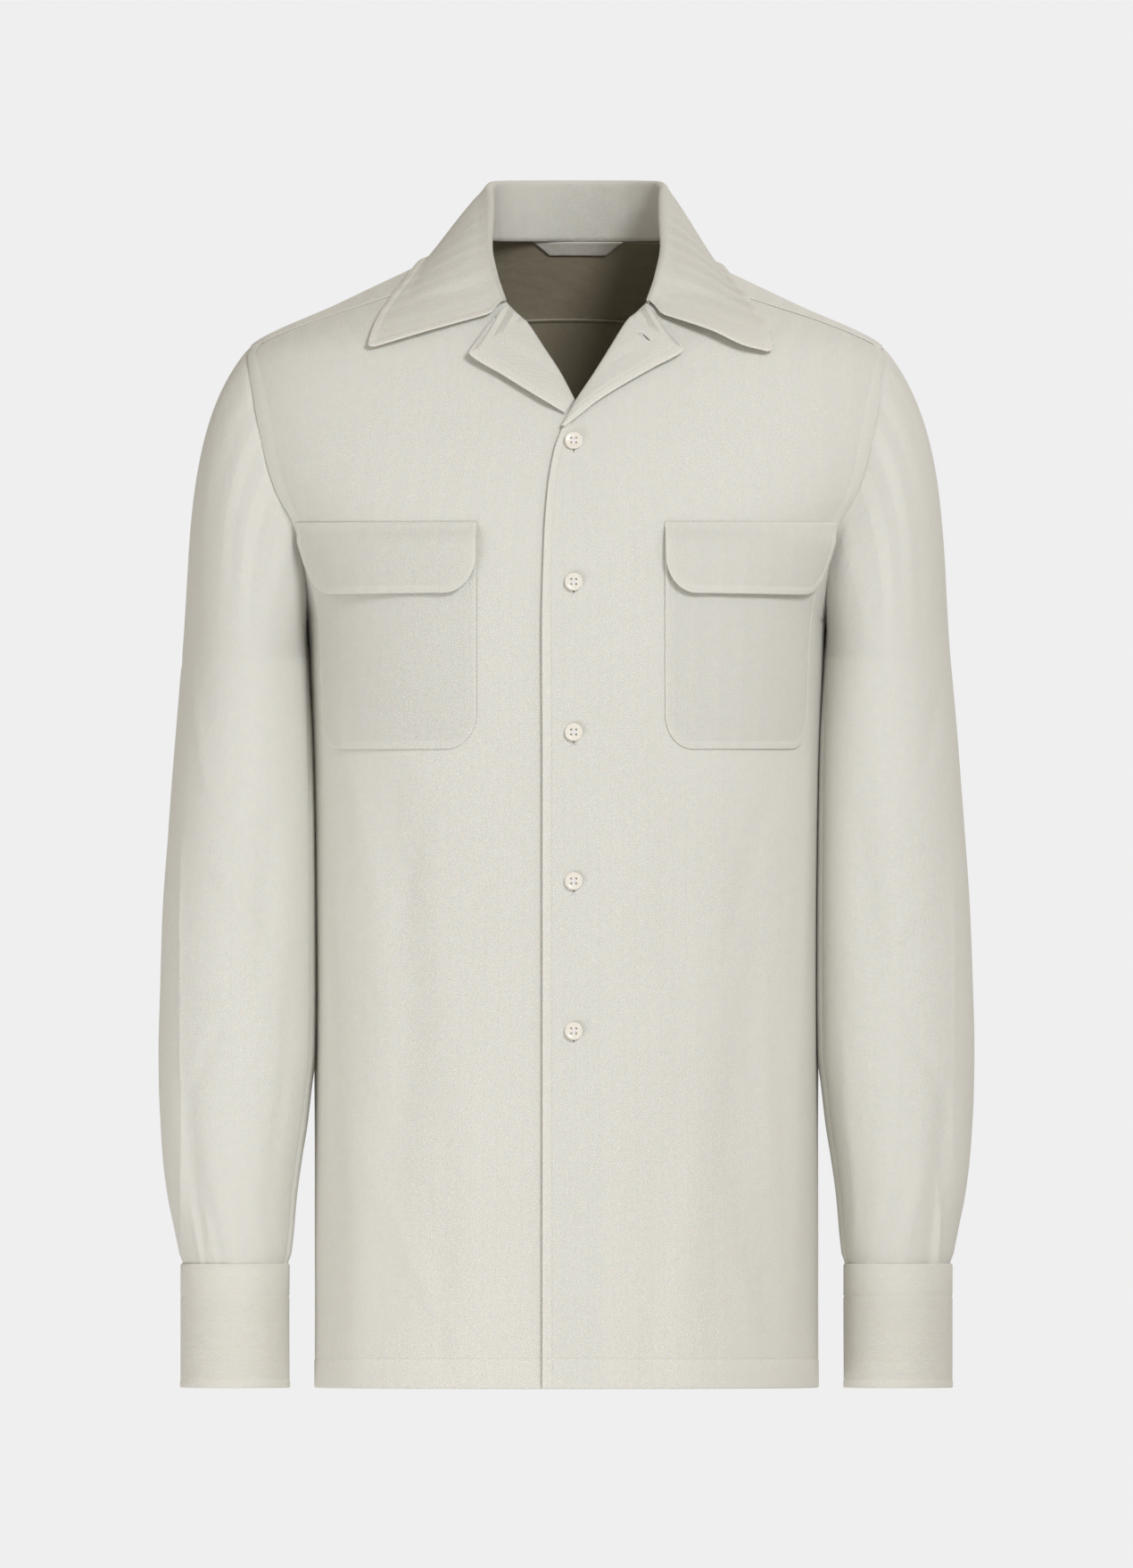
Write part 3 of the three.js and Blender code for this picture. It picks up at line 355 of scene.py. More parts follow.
def herringbone_group():
    group, given, result = new_group(
        "herringbone_weave",
        [("UV", "NodeSocketVector", None), ("Line spacing", "NodeSocketFloat", 0.0015),
         ("Band width", "NodeSocketFloat", 0.0085), ("Yarn", "NodeSocketFloat", 0.0005)],
        [("Height", "NodeSocketFloat"), ("Hollows", "NodeSocketFloat"),
         ("Slubs", "NodeSocketFloat")],
    )
    parts = add_node(group, "ShaderNodeSeparateXYZ")
    group.links.new(given.outputs["UV"], parts.inputs[0])
    # The slanting lines, which turn back at each band and start half a line later there.
    bands = maths(group, "DIVIDE", parts.outputs[0], given.outputs["Band width"])
    zigzag = maths(group, "PINGPONG", bands, 1.0)
    slant = maths(group, "MULTIPLY", zigzag, given.outputs["Band width"])
    slant = maths(group, "MULTIPLY", slant, LINE_SLANT)
    odd = maths(group, "MODULO", maths(group, "FLOOR", bands), 2.0)
    lines = maths(group, "ADD", parts.outputs[1], slant)
    lines = maths(group, "DIVIDE", lines, given.outputs["Line spacing"])
    later = maths(group, "MULTIPLY", maths(group, "ABSOLUTE", odd), 0.5)
    lines = maths(group, "ADD", lines, later)
    wave = maths(group, "SINE", maths(group, "MULTIPLY", lines, 2 * math.pi))
    rise = maths(group, "MULTIPLY_ADD", wave, 0.5, 0.5)
    # The single yarns across the lines.
    picks = maths(group, "DIVIDE", parts.outputs[0], given.outputs["Yarn"])
    picks = maths(group, "SINE", maths(group, "MULTIPLY", picks, 2 * math.pi))
    picks = maths(group, "MULTIPLY_ADD", picks, 0.12, 0.88)
    # Slubs are thicker places in the yarn, longer than they are wide.
    slub = dialled(add_node(group, "ShaderNodeTexNoise"), {"Scale": 1.0, "Detail": 3.0})
    stretch = dialled(add_node(group, "ShaderNodeMapping"), {"Scale": SLUB_SCALE})
    group.links.new(given.outputs["UV"], stretch.inputs[0])
    group.links.new(stretch.outputs[0], slub.inputs["Vector"])
    height = maths(group, "MULTIPLY", rise, picks)
    height = maths(group, "ADD", height, maths(group, "MULTIPLY", slub.outputs[0], 0.5))
    group.links.new(height, result.inputs[0])
    group.links.new(maths(group, "SUBTRACT", 1.0, rise), result.inputs[1])
    group.links.new(slub.outputs[0], result.inputs[2])
    return group


herringbone = herringbone_group()
print("weave group:", len(herringbone.nodes), "nodes")

# %% [markdown]
# The cloth itself is a rough diffuse surface with a little sheen from its short fibres.
# Seams and folded edges are painted slightly paler than the rest, a painted highlight where
# the light catches their rounded edge and the thread shines. Each piece stores how near an
# edge it is in an attribute of its own, which the colour reads. Four kinds share one recipe:
# the body, the trims with a clearer weave, the inside, painted darker with the shade that
# falls inside the shirt, and the label's tape.

# %% The cotton material
def mixed(tree, factor, first, second):
    node = add_node(tree, "ShaderNodeMix", data_type="RGBA")
    for number, value in ((0, factor), (6, first), (7, second)):
        feed(tree, node.inputs[number], value)
    return node.outputs[2]


def new_material(name):
    material = bpy.data.materials.new(name)
    material.use_nodes = True
    tree = material.node_tree
    return material, tree, tree.nodes["Principled BSDF"]


def noise(tree, place, **values):
    """A noise texture at places given by a vector, with its sockets set."""
    node = add_node(tree, "ShaderNodeTexNoise")
    tree.links.new(place, node.inputs["Vector"])
    return dialled(node, values).outputs[0]


def relief(tree, height, distance):
    node = dialled(add_node(tree, "ShaderNodeBump"), {"Strength": 1.0, "Distance": distance})
    tree.links.new(height, node.inputs["Height"])
    return node


UNEVEN = 0.2               # how much the cloth changes from place to place
HOLLOW_SHARE, SLUB_SHARE, EDGE_SHARE = 0.7, 0.4, 0.5
CRUMPLE_HEIGHT = 0.6 * MM


def cotton(name, colour, hollow, pale, bump, line_spacing=1.5 * MM, band_width=8.5 * MM):
    material, tree, shader = new_material(name)
    uv = add_node(tree, "ShaderNodeUVMap", uv_map="cut").outputs[0]
    weave = add_node(tree, "ShaderNodeGroup", node_tree=herringbone)
    dialled(weave, {"Line spacing": line_spacing, "Band width": band_width})
    tree.links.new(uv, weave.inputs["UV"])
    edge = add_node(tree, "ShaderNodeAttribute", attribute_name="edge")
    cloudy = noise(tree, uv, Scale=14.0, Detail=4.0)
    tone = colour
    # The weave's hollows are painted darker as painted shade. The cloudiness and the slubs are
    # the cloth's own tone, and the edge mask is a painted highlight.
    for mask, share, other in (
        (weave.outputs["Hollows"], HOLLOW_SHARE, hollow), (cloudy, UNEVEN, hollow),
        (weave.outputs["Slubs"], SLUB_SHARE, pale), (edge.outputs["Fac"], EDGE_SHARE, pale),
    ):
        tone = mixed(tree, maths(tree, "MULTIPLY", mask, share), tone, other)
    tree.links.new(tone, shader.inputs["Base Color"])
    rough = maths(tree, "MULTIPLY_ADD", weave.outputs["Slubs"], 0.12, 0.8)
    tree.links.new(rough, shader.inputs["Roughness"])
    crumple = relief(tree, noise(tree, uv, Scale=90.0, Detail=2.0), CRUMPLE_HEIGHT)
    lines = relief(tree, weave.outputs["Height"], bump)
    tree.links.new(crumple.outputs[0], lines.inputs["Normal"])
    tree.links.new(lines.outputs[0], shader.inputs["Normal"])
    dialled(shader, {
        "Sheen Weight": 0.12, "Sheen Roughness": 0.6, "Specular IOR Level": 0.25,
        "Subsurface Weight": 0.16, "Subsurface Radius": (1.0, 0.6, 0.35),
        "Subsurface Scale": 0.005,
    })
    return material


IVORY, IVORY_PALE = (0.79, 0.785, 0.74, 1), (0.87, 0.86, 0.81, 1)
BODY_HOLLOW, TRIM_HOLLOW = (0.56, 0.55, 0.495, 1), (0.50, 0.49, 0.435, 1)
# The inside is a darker copy of the ivory: painted shade, for the little light that reaches
# inside the shirt.
SHADED, SHADED_HOLLOW = (0.37, 0.33, 0.24, 1), (0.27, 0.235, 0.16, 1)
TAPE, TAPE_HOLLOW = (0.97, 0.92, 0.80, 1), (0.86, 0.80, 0.68, 1)
body_cotton = cotton("ivory_cotton", IVORY, BODY_HOLLOW, IVORY_PALE, 0.11 * MM)
trim_cotton = cotton("ivory_cotton_trim", IVORY, TRIM_HOLLOW, IVORY_PALE, 0.17 * MM)
inside_painted_shade_cotton = cotton("ivory_cotton_inside_painted_shade", SHADED, SHADED_HOLLOW, SHADED, 0.06 * MM)
inside_painted_shade_cotton.node_tree.nodes["Principled BSDF"].inputs["Subsurface Weight"].default_value = 0.0
tape = cotton("woven_tape", TAPE, TAPE_HOLLOW, IVORY_PALE, 0.1 * MM, 0.6 * MM, 2 * MM)
print("cotton materials:", [material.name for material in bpy.data.materials][-4:])

# %% [markdown]
# Every piece of cloth starts as a flat grid. Each corner of the grid stands for a place on
# the cut, and is put where that place lies on the worn shirt. The grid is closer together
# near sewn edges, where the cloth is folded double and the stitches pull it down.

# %% Grid lines and sewn edges
def corner_inset(height, radius):
    """How far a side with a rounded lower corner is in from the full width, at a height."""
    low = np.clip(radius - height, 0, radius)
    return radius - np.sqrt(radius ** 2 - low ** 2)


def near_edge(stitch):
    """Distances from a sewn edge at which the grid has lines."""
    lines = [0.35, 0.9, stitch * 0.4] + [stitch + away for away in (-1.3, -0.6, 0, 0.6, 1.3)]
    return [0] + sorted(d for d in lines if d > 0) + [stitch + 3]


def places(length, step, first=(0,), last=(0,)):
    """Places from 0 to 1 along a length, with lines at set distances from either end."""
    tail = [length - d for d in last]
    count = max(1, round((min(tail) - max(first)) / step))
    middle = np.linspace(max(first), min(tail), count + 1)
    return np.unique(np.round(np.concatenate([list(first), middle, tail]), 4)) / length


def welt(distance, stitch, height=0.45, groove=0.4):
    """A folded and topstitched edge: rounded off, raised, with a groove at the stitches."""
    raised = height * (1 - smooth_step(stitch - 0.6, stitch + 1.2, distance))
    pulled = groove * np.exp(-(((distance - stitch) / 0.85) ** 2))
    hollow = 0.3 * height * np.exp(-(((distance - 0.45 * stitch) / (0.2 * stitch)) ** 2))
    rounded = 0.55 * np.maximum(0, 1 - distance / 0.9) ** 2
    return raised - pulled - hollow - rounded


def paleness(distance, stitch):
    """How much an edge is catching the light, from 1 at the fold to 0 past the stitches."""
    fold = 0.45 * np.exp(-((distance / 1.1) ** 2))
    double = 0.25 * (1 - smooth_step(stitch - 0.4, stitch + 0.6, distance))
    thread = 0.3 * np.exp(-(((distance - stitch) / 0.7) ** 2))
    return np.clip(fold + double + thread, 0, 1)


print("grid lines near an edge sewn at 5 mm:", near_edge(5))

# %% [markdown]
# Each corner of the grid then moves to its place on the worn shirt, and keeps its place on
# the cut as its UV, so the weave lies on it as on real cloth. Solidify gives the shell its
# thickness away from the side that the faces look to. Its inner side can have a material of
# its own, which carries painted shade for the inside of the shirt.

# %% Making a piece of cloth from a grid
SINGLE, DOUBLE = 0.9, 1.5
cloth_area = {}


def mesh_of(bm, name):
    mesh = bpy.data.meshes.new(name)
    bm.to_mesh(mesh)
    bm.free()
    return mesh


def add_object(name, data):
    made = bpy.data.objects.new(name, data)
    bpy.context.scene.collection.objects.link(made)
    return made


def smooth_piece(name, mesh, material=None):
    if material:
        mesh.materials.append(material)
    mesh.polygons.foreach_set("use_smooth", [True] * len(mesh.polygons))
    return add_object(name, mesh)


def finish_cloth(name, mesh, material, thickness, inside):
    piece = smooth_piece(name, mesh, material)
    cloth_area[name] = sum(face.area for face in mesh.polygons)
    wall = piece.modifiers.new("thickness", "SOLIDIFY")
    wall.thickness = thickness * MM
    wall.offset = -1
    if inside:
        mesh.materials.append(inside)
        wall.material_offset = 1
    return piece


def cloth(name, us, vs, place, cut, edge=None, facing=1, ring=False, thickness=SINGLE,
          material=body_cotton, inside=None):
    bm = bmesh.new()
    bmesh.ops.create_grid(bm, x_segments=len(us) - 1, y_segments=len(vs) - 1, size=0.5)
    mesh = mesh_of(bm, name)
    corners = np.empty(len(mesh.vertices) * 3)
    mesh.vertices.foreach_get("co", corners)
    corners = corners.reshape(-1, 3)
    i = np.rint((corners[:, 0] + 0.5) * (len(us) - 1)).astype(int)
    j = np.rint((corners[:, 1] + 0.5) * (len(vs) - 1)).astype(int)
    u, v = np.asarray(us)[i], np.asarray(vs)[j]
    mesh.vertices.foreach_set("co", (place(u, v) * MM).ravel())
    uv_map = mesh.uv_layers.new(name="cut")
    of_corner = np.empty(len(mesh.loops), dtype=np.int32)
    mesh.loops.foreach_get("vertex_index", of_corner)
    uv_map.data.foreach_set("uv", (cut(u, v) * MM)[of_corner].ravel())
    near = mesh.attributes.new("edge", "FLOAT", "POINT")
    near.data.foreach_set("value", np.zeros(len(u)) if edge is None else edge(u, v))
    if ring:
        bm = bmesh.new()
        bm.from_mesh(mesh)
        bmesh.ops.remove_doubles(bm, verts=bm.verts, dist=1e-6)
        bm.to_mesh(mesh)
        bm.free()
    if facing < 0:
        mesh.flip_normals()
    mesh.update()
    piece = finish_cloth(name, mesh, material, thickness, inside)
    print(name, len(mesh.polygons), "faces", round(cloth_area[name], 4), "m2")
    return piece


def put_in(piece, *nodes, slot="herringbone_cotton"):
    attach(piece, "root")
    if nodes:
        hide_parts(*nodes)


print("single cloth is", SINGLE, "mm thick and doubled cloth", DOUBLE, "mm")

# %% [markdown]
# The two fronts. The wearer's left front laps over the right, so it stands off the body by
# the thickness of the other one near the centre. Its edge runs straight up from the hem
# and then bends out at the first button, where the lapel begins to roll. Each front ends
# above at the neckline and the yoke seam, and at its side at the armhole and side seam.

# %% The edges of the fronts
NECK_CENTRE_X = 6.2
NECKLINE = table(
    "along half_width y",
    (0, 47, -74), (0.16, 52, -56), (0.36, 56, -30), (0.56, 56, 2), (0.72, 50, 31),
    (0.86, 33, 52), (0.95, 12, 60.8), (1, 0, 62),
)
YOKE_NECK_START, YOKE_NECK_BACK = 0.16, 0.62
FRONT_YOKE_SEAM = table(
    "x z", (75, -9.5), (106, -16.5), (125, -22.5), (163, -35), (189, -46), (197.6, -51),
)
OVER_EDGE = table(
    "z x",
    (-703, -15.1), (-313, -15.1), (-228, -15.5), (-168, -14), (-138, -11.7), (-116, -8),
    (-105, -4.2), (-85, 6.2), (-68, 17.5), (-50, 28.7), (-33, 40), (-20, 52), (-8, 58),
)
UNDER_EDGE = table(
    "z x",
    (-703, 23), (-125, 23), (-105, 16), (-85, 6.2), (-68, -4), (-50, -15), (-34, -26),
    (-20, -39), (-8, -47),
)
OVERLAP_LIFT = 2.45    # how far the upper front stands off where it lies on the lower one


def neck_point(along, side):
    x = NECK_CENTRE_X + side * column(NECKLINE, "along", "half_width")(along)
    y = column(NECKLINE, "along", "y")(along)
    return stack(x, y, shoulder_height(x, y))


def front_top_edge(side):
    neck = neck_point(np.linspace(0, YOKE_NECK_START, 4), side)
    rows = [{"x": abs(float(p[0])), "z": float(p[2])} for p in neck]
    return column(rows + FRONT_YOKE_SEAM, "x", "z")


def over_front_lift(x):
    return OVERLAP_LIFT * (1 - smooth_step(30, 70, x))


front_edge = {1: column(OVER_EDGE, "z", "x"), -1: column(UNDER_EDGE, "z", "x")}


def front_turn(side, across, z):
    return lerp(turn_at_x(front_edge[side](z), z), side * armhole_turn(z, False), across)


print("the fronts lap", round(float(front_edge[-1](-400) - front_edge[1](-400))), "mm")

# %% [markdown]
# A front's grid runs from its free edge to its side, and from the hem up to the yoke seam.
# Its welt, seams and hem are small steps in how far each place is lifted off the body.
# At the top it goes a little way under the yoke, as a seam allowance does.

# %% A front from its edges
PLACKET_STITCH, SEAM_STITCH, HEM_STITCH = 5.5, 8.5, 18.0
UNDER_YOKE = 2.4
LAPEL_STARTS = (-84, -100)    # the front's free edge is flat above and a welt below


def front_row_width(side, z):
    """The length of cloth from the free edge to the side, at a height."""
    across = np.linspace(0, 1, 24)[:, None]
    line = body_plain(front_turn(side, across, z[None, :]), z[None, :])
    return np.linalg.norm(np.diff(line, axis=0), axis=-1).sum(axis=0)


def under_yoke(from_top):
    """How far a panel sinks where it goes under the yoke."""
    return 1.2 * (1 - smooth_step(0.8, 2.4, from_top))


def side_seam_part(z):
    return smooth_step(UNDERARM_Z - 20, UNDERARM_Z + 15, z)


def front_maker(side):
    shares = np.linspace(0, 1, 120)
    top_edge = front_top_edge(side)
    tops = crossing(np.full(120, -58.0), np.full(120, 4.0), lambda z: z - top_edge(
        np.abs(body_plain(front_turn(side, shares, z), z)[..., 0])))
    tops[0] = neck_point(0, side)[2]
    tops = tops + UNDER_YOKE * smooth_step(0.02, 0.08, shares) * (shares < 1)
    heights = np.linspace(HEM_Z, 5, 200)
    widths = front_row_width(side, heights)

    def shape(across, part):
        top = np.interp(across, shares, tops)
        z = lerp(HEM_Z, top, part)
        width = np.interp(z, heights, widths)
        return z, across * width, (1 - across) * width, top - z

    def place(across, part):
        z, from_edge, from_side, from_top = shape(across, part)
        turn = front_turn(side, across, z)
        lift = over_front_lift(body_plain(turn, z)[..., 0]) if side > 0 else 0
        below_lapel = smooth_step(*LAPEL_STARTS, z)
        lift = lift + welt(from_edge, PLACKET_STITCH, 0.8, 0.95) * below_lapel
        lift = lift + welt(from_side, SEAM_STITCH, 0.4, 0.35) * side_seam_part(z)
        lift = lift + welt(z - HEM_Z, HEM_STITCH, 0.35, 0.4)
        lift = lift - under_yoke(from_top) * smooth_step(0.0, 0.06, across)
        pucker = 0.25 * np.sin(z / 3.1) * np.sin(z / 11 + 1)
        pucker = pucker * np.exp(-(((from_edge - 7) / 4) ** 2))
        return on_body(turn, z, lift + pucker * below_lapel)

    def cut(across, part):
        z, from_edge, _, _ = shape(across, part)
        return np.stack([front_edge[side](z) + side * from_edge, z], axis=-1)

    def edge(across, part):
        z, from_edge, from_side, _ = shape(across, part)
        pale = paleness(from_edge, PLACKET_STITCH) * smooth_step(*LAPEL_STARTS, z)
        seam = 0.6 * paleness(from_side, SEAM_STITCH) * side_seam_part(z)
        return np.clip(pale + seam + 0.5 * paleness(z - HEM_Z, HEM_STITCH), 0, 1)

    return place, cut, edge


# %% The two fronts
FRONT_HEIGHT, FRONT_WIDTH = 655, 200
hem_rows = [0, 0.4, 1.2, 5, 11] + [HEM_STITCH + away for away in (-1, -0.5, 0, 0.5, 1.2)] + [22]
top_rows = (0, 0.8, 1.6, 2.4, 3.2, 4)
front_rows = places(FRONT_HEIGHT, 3.6, hem_rows, top_rows)
front_columns = places(FRONT_WIDTH, 3.0, near_edge(PLACKET_STITCH), near_edge(SEAM_STITCH))
fronts = {}
for name, side in (("front_right", -1), ("front_left", 1)):
    place, cut, edge = front_maker(side)
    piece = cloth(name + "_cloth", front_columns, front_rows, place, cut, edge,
                  facing=side, inside=inside_painted_shade_cotton)
    put_in(piece, name)
    fronts[side] = place

# %% [markdown]
# The back is one panel from the hem to the yoke seam. Nothing shows of it in front but its
# inside, through the neck, and it is finished plainly, with a few long soft folds.

# %% The back
BACK_YOKE_Z = -33
BACK_HEIGHT, BACK_WIDTH = 660, 430
yoke_end = armhole_point(YOKE_BACK_TURN)


def back_top_height(x):
    return BACK_YOKE_Z + (yoke_end[2] - BACK_YOKE_Z) * (x / yoke_end[0]) ** 2


back_shares = np.linspace(0, 1, 160)
back_tops = crossing(np.full(160, -88.0), np.full(160, 0.0), lambda z: z - back_top_height(
    body_plain(180 - lerp(-1, 1, back_shares) * armhole_turn(z, True), z)[..., 0]))
back_tops[[0, -1]] = yoke_end[2]
away_from_ends = smooth_step(0, 0.04, back_shares) * smooth_step(0, 0.04, 1 - back_shares)
back_tops = back_tops + UNDER_YOKE * away_from_ends


def back_shape(across, part):
    top = np.interp(across, back_shares, back_tops)
    z = lerp(HEM_Z, top, part)
    half = armhole_turn(z, True)
    from_seam = (1 - np.abs(2 * across - 1)) * half * TURN_LENGTH
    return z, 180 - lerp(-1, 1, across) * half, from_seam, top - z


def back_place(across, part):
    z, turn, from_seam, from_top = back_shape(across, part)
    lift = welt(from_seam, SEAM_STITCH, 0.3, 0.25) + welt(z - HEM_Z, HEM_STITCH, 0.25, 0.3)
    lift = lift - under_yoke(from_top) * smooth_step(0, 8, from_seam)
    return on_body(turn, z, lift)


def back_cut(across, part):
    z, turn, _, _ = back_shape(across, part)
    return np.stack([(turn - 180) * TURN_LENGTH, z], axis=-1)


def back_edge(across, part):
    z, _, from_seam, _ = back_shape(across, part)
    seam, hem = paleness(from_seam, SEAM_STITCH), paleness(z - HEM_Z, HEM_STITCH)
    return np.clip(0.6 * seam + 0.5 * hem, 0, 1)


back = cloth(
    "back_cloth", places(BACK_WIDTH, 3.6, near_edge(SEAM_STITCH), near_edge(SEAM_STITCH)),
    places(BACK_HEIGHT, 3.8, hem_rows, top_rows), back_place, back_cut, back_edge,
    facing=-1, inside=inside_painted_shade_cotton,
)
put_in(back, "back")

# %% [markdown]
# The yoke runs over both shoulders in one piece. Seen from above it is a U round the neck,
# so its grid goes from one front seam round the back of the neck to the other, and each
# place takes its height from the shoulders below it.

# %% The edges of the yoke
def side_depth(x, z, depth):
    """How far a level section reaches in front or behind, at a distance from its middle."""
    share = np.maximum(0, 1 - (np.abs(x) / half_width(z)) ** SECTION_POWER)
    return depth(z) * share ** (1 / SECTION_POWER)


def yoke_seam_y(x, side):
    return -side_depth(x, front_top_edge(side)(np.abs(x)), front_depth)


def yoke_frame(round_neck):
    """Both edges of the yoke at places round the neck, from -1 (right front) to 1."""
    q, side = np.abs(round_neck), np.where(round_neck < 0, -1, 1)
    in_front = q > 0.5
    turn = lerp(YOKE_BACK_TURN, -YOKE_FRONT_TURN, np.clip(2 * q - 1, 0, 1))
    behind_x = yoke_end[0] * np.clip(2 * q, 0, 1)
    behind_z = back_top_height(behind_x)
    behind = stack(behind_x, side_depth(behind_x, behind_z, back_depth), behind_z)
    outer = np.where(in_front[..., None], armhole_point(turn), behind)
    outer[..., 0] *= side
    front_part = lerp(YOKE_NECK_BACK, YOKE_NECK_START, 2 * q - 1)
    along = np.where(in_front, front_part, lerp(1, YOKE_NECK_BACK, 2 * q))
    inner = np.where(side[..., None] > 0, neck_point(along, 1), neck_point(along, -1))
    seam_share = np.clip(1 - (turn + YOKE_FRONT_TURN) / 45, 0, 1) * in_front
    return inner, outer, seam_share, side


print("the yoke is", round(2 * float(yoke_end[0])), "mm wide behind")

# %% [markdown]
# Between its edges the yoke lies on the shoulders. Towards the front seam its rows bend
# until they meet the curve of that seam. The inner side's material, with its painted shade,
# also covers the cut edge, because that edge faces the shaded inside of the neck.

# %% The yoke
YOKE_STITCH = 3.0
YOKE_LENGTH, YOKE_WIDTH = 620, 110
YOKE_TO_FRONT, YOKE_BACK_WIDTH = 190, 85    # along the cloth, for its sewn edges


def yoke_place(round_neck, part):
    inner, outer, seam_share, side = yoke_frame(round_neck)
    x, y = lerp(inner[..., 0], outer[..., 0], part), lerp(inner[..., 1], outer[..., 1], part)
    bend = np.zeros_like(x)
    for one in (-1, 1):
        start, end = neck_point(YOKE_NECK_START, one), armhole_point(-YOKE_FRONT_TURN)
        seam_x = lerp(start[0], one * end[0], part)
        away = yoke_seam_y(seam_x, one) - lerp(start[1], end[1], part)
        bend = np.where(side == one, away, bend)
    inside = (part > 0) & (part < 1)
    y = y + bend * seam_share * inside
    points = stack(x, y, shoulder_height(x, y))
    turn, z = turn_at(points[..., 0], points[..., 1]), points[..., 2]
    from_front = (1 - np.abs(round_neck)) * YOKE_TO_FRONT
    from_back = np.where(np.abs(round_neck) < 0.5, (1 - part) * YOKE_BACK_WIDTH, 99)
    lift = 0.35 + 0.25 * ripple(x, y, 2.0)
    for from_edge in (from_front, from_back):
        lift = lift + welt(from_edge, YOKE_STITCH, 0.4, 0.3)
    return points + body_normal(turn, z) * lift[..., None]


def yoke_cut(round_neck, part):
    points = yoke_place(round_neck, part)
    return np.stack([points[..., 0], points[..., 1] - points[..., 2]], axis=-1)


def yoke_edge(round_neck, part):
    return 0.8 * paleness((1 - np.abs(round_neck)) * YOKE_TO_FRONT, YOKE_STITCH)


yoke_columns = places(YOKE_LENGTH, 3.6, near_edge(YOKE_STITCH), near_edge(YOKE_STITCH))
yoke = cloth(
    "yoke_cloth", lerp(-1, 1, yoke_columns),
    places(YOKE_WIDTH, 3.4, (0, 1.5), near_edge(YOKE_STITCH)),
    yoke_place, yoke_cut, yoke_edge, inside=inside_painted_shade_cotton,
)
# The cut edge takes the inside's painted shade.
yoke.modifiers["thickness"].material_offset_rim = 1
put_in(yoke, "yoke")

# %% [markdown]
# The collar is a stand that rises from the neckline and a fall that folds over it and comes
# down on the shoulders. It is one grid: round the neck one way, and from the neck seam up,
# over the fold and down to the free edge the other way. In front the leaf lifts off the
# chest in a low arch between the notch and the point.

# %% The fold and the free edge of the collar
COLLAR_FOLD = table(
    "along half_width y z radius",
    (0, 45.8, -77.8, -20.2, 1.8), (0.14, 52, -64, -3, 2.4), (0.3, 56, -42, 17, 3),
    (0.46, 55.4, -17, 36, 3.2), (0.62, 55.4, 10, 51, 3.2), (0.76, 52, 34, 55, 3.2),
    (0.88, 35, 54, 55.6, 3.2), (0.96, 12, 61.2, 55.7, 3.2), (1, 0, 62, 55.7, 3.2),
)
COLLAR_EDGE = table(
    "along x y",
    (0, 128, -79.2), (0.1, 121.5, -66), (0.2, 112.5, -53), (0.3, 103.8, -40), (0.42, 97, -20),
    (0.54, 93, 0), (0.68, 86, 26), (0.8, 70, 50), (0.9, 40, 67), (0.97, 12.5, 73.3), (1, 0, 74),
)
COLLAR_EDGE_SHIFT = 2.6
collar_fold = {name: column(COLLAR_FOLD, "along", name) for name in COLLAR_FOLD[0]}
collar_free = {name: column(COLLAR_EDGE, "along", name) for name in COLLAR_EDGE[0]}


def fold_top(along, side):
    x = NECK_CENTRE_X + side * collar_fold["half_width"](along)
    return stack(x, collar_fold["y"](along), collar_fold["z"](along))


def collar_edge_point(along, side):
    x = COLLAR_EDGE_SHIFT + side * collar_free["x"](along)
    y = collar_free["y"](along)
    return stack(x, y, shoulder_height(x, y))


print("the collar's points are", round(2 * COLLAR_EDGE[0]["x"]), "mm apart")

# %% [markdown]
# Half of the collar, from the front end round to the middle of the back. The stand rises
# from the neck seam to the fold, a small arc turns it over, and the fall leaves that arc
# where it points straight at the free edge. The fall is then pushed clear of the body.

# %% Half of the collar
COLLAR_STITCH = 5.0
COLLAR_FALL, COLLAR_HALF = 68, 300    # the width of the fall, and half the collar's length
COLLAR_TIP = 5.5                      # how the points are rounded
RISE_END, ARC_END = 0.3, 0.42         # the stand and the arc, as shares of the way across
STAND_SEAM_Z = 17.3                   # the seam below the stand, inside the back of the neck


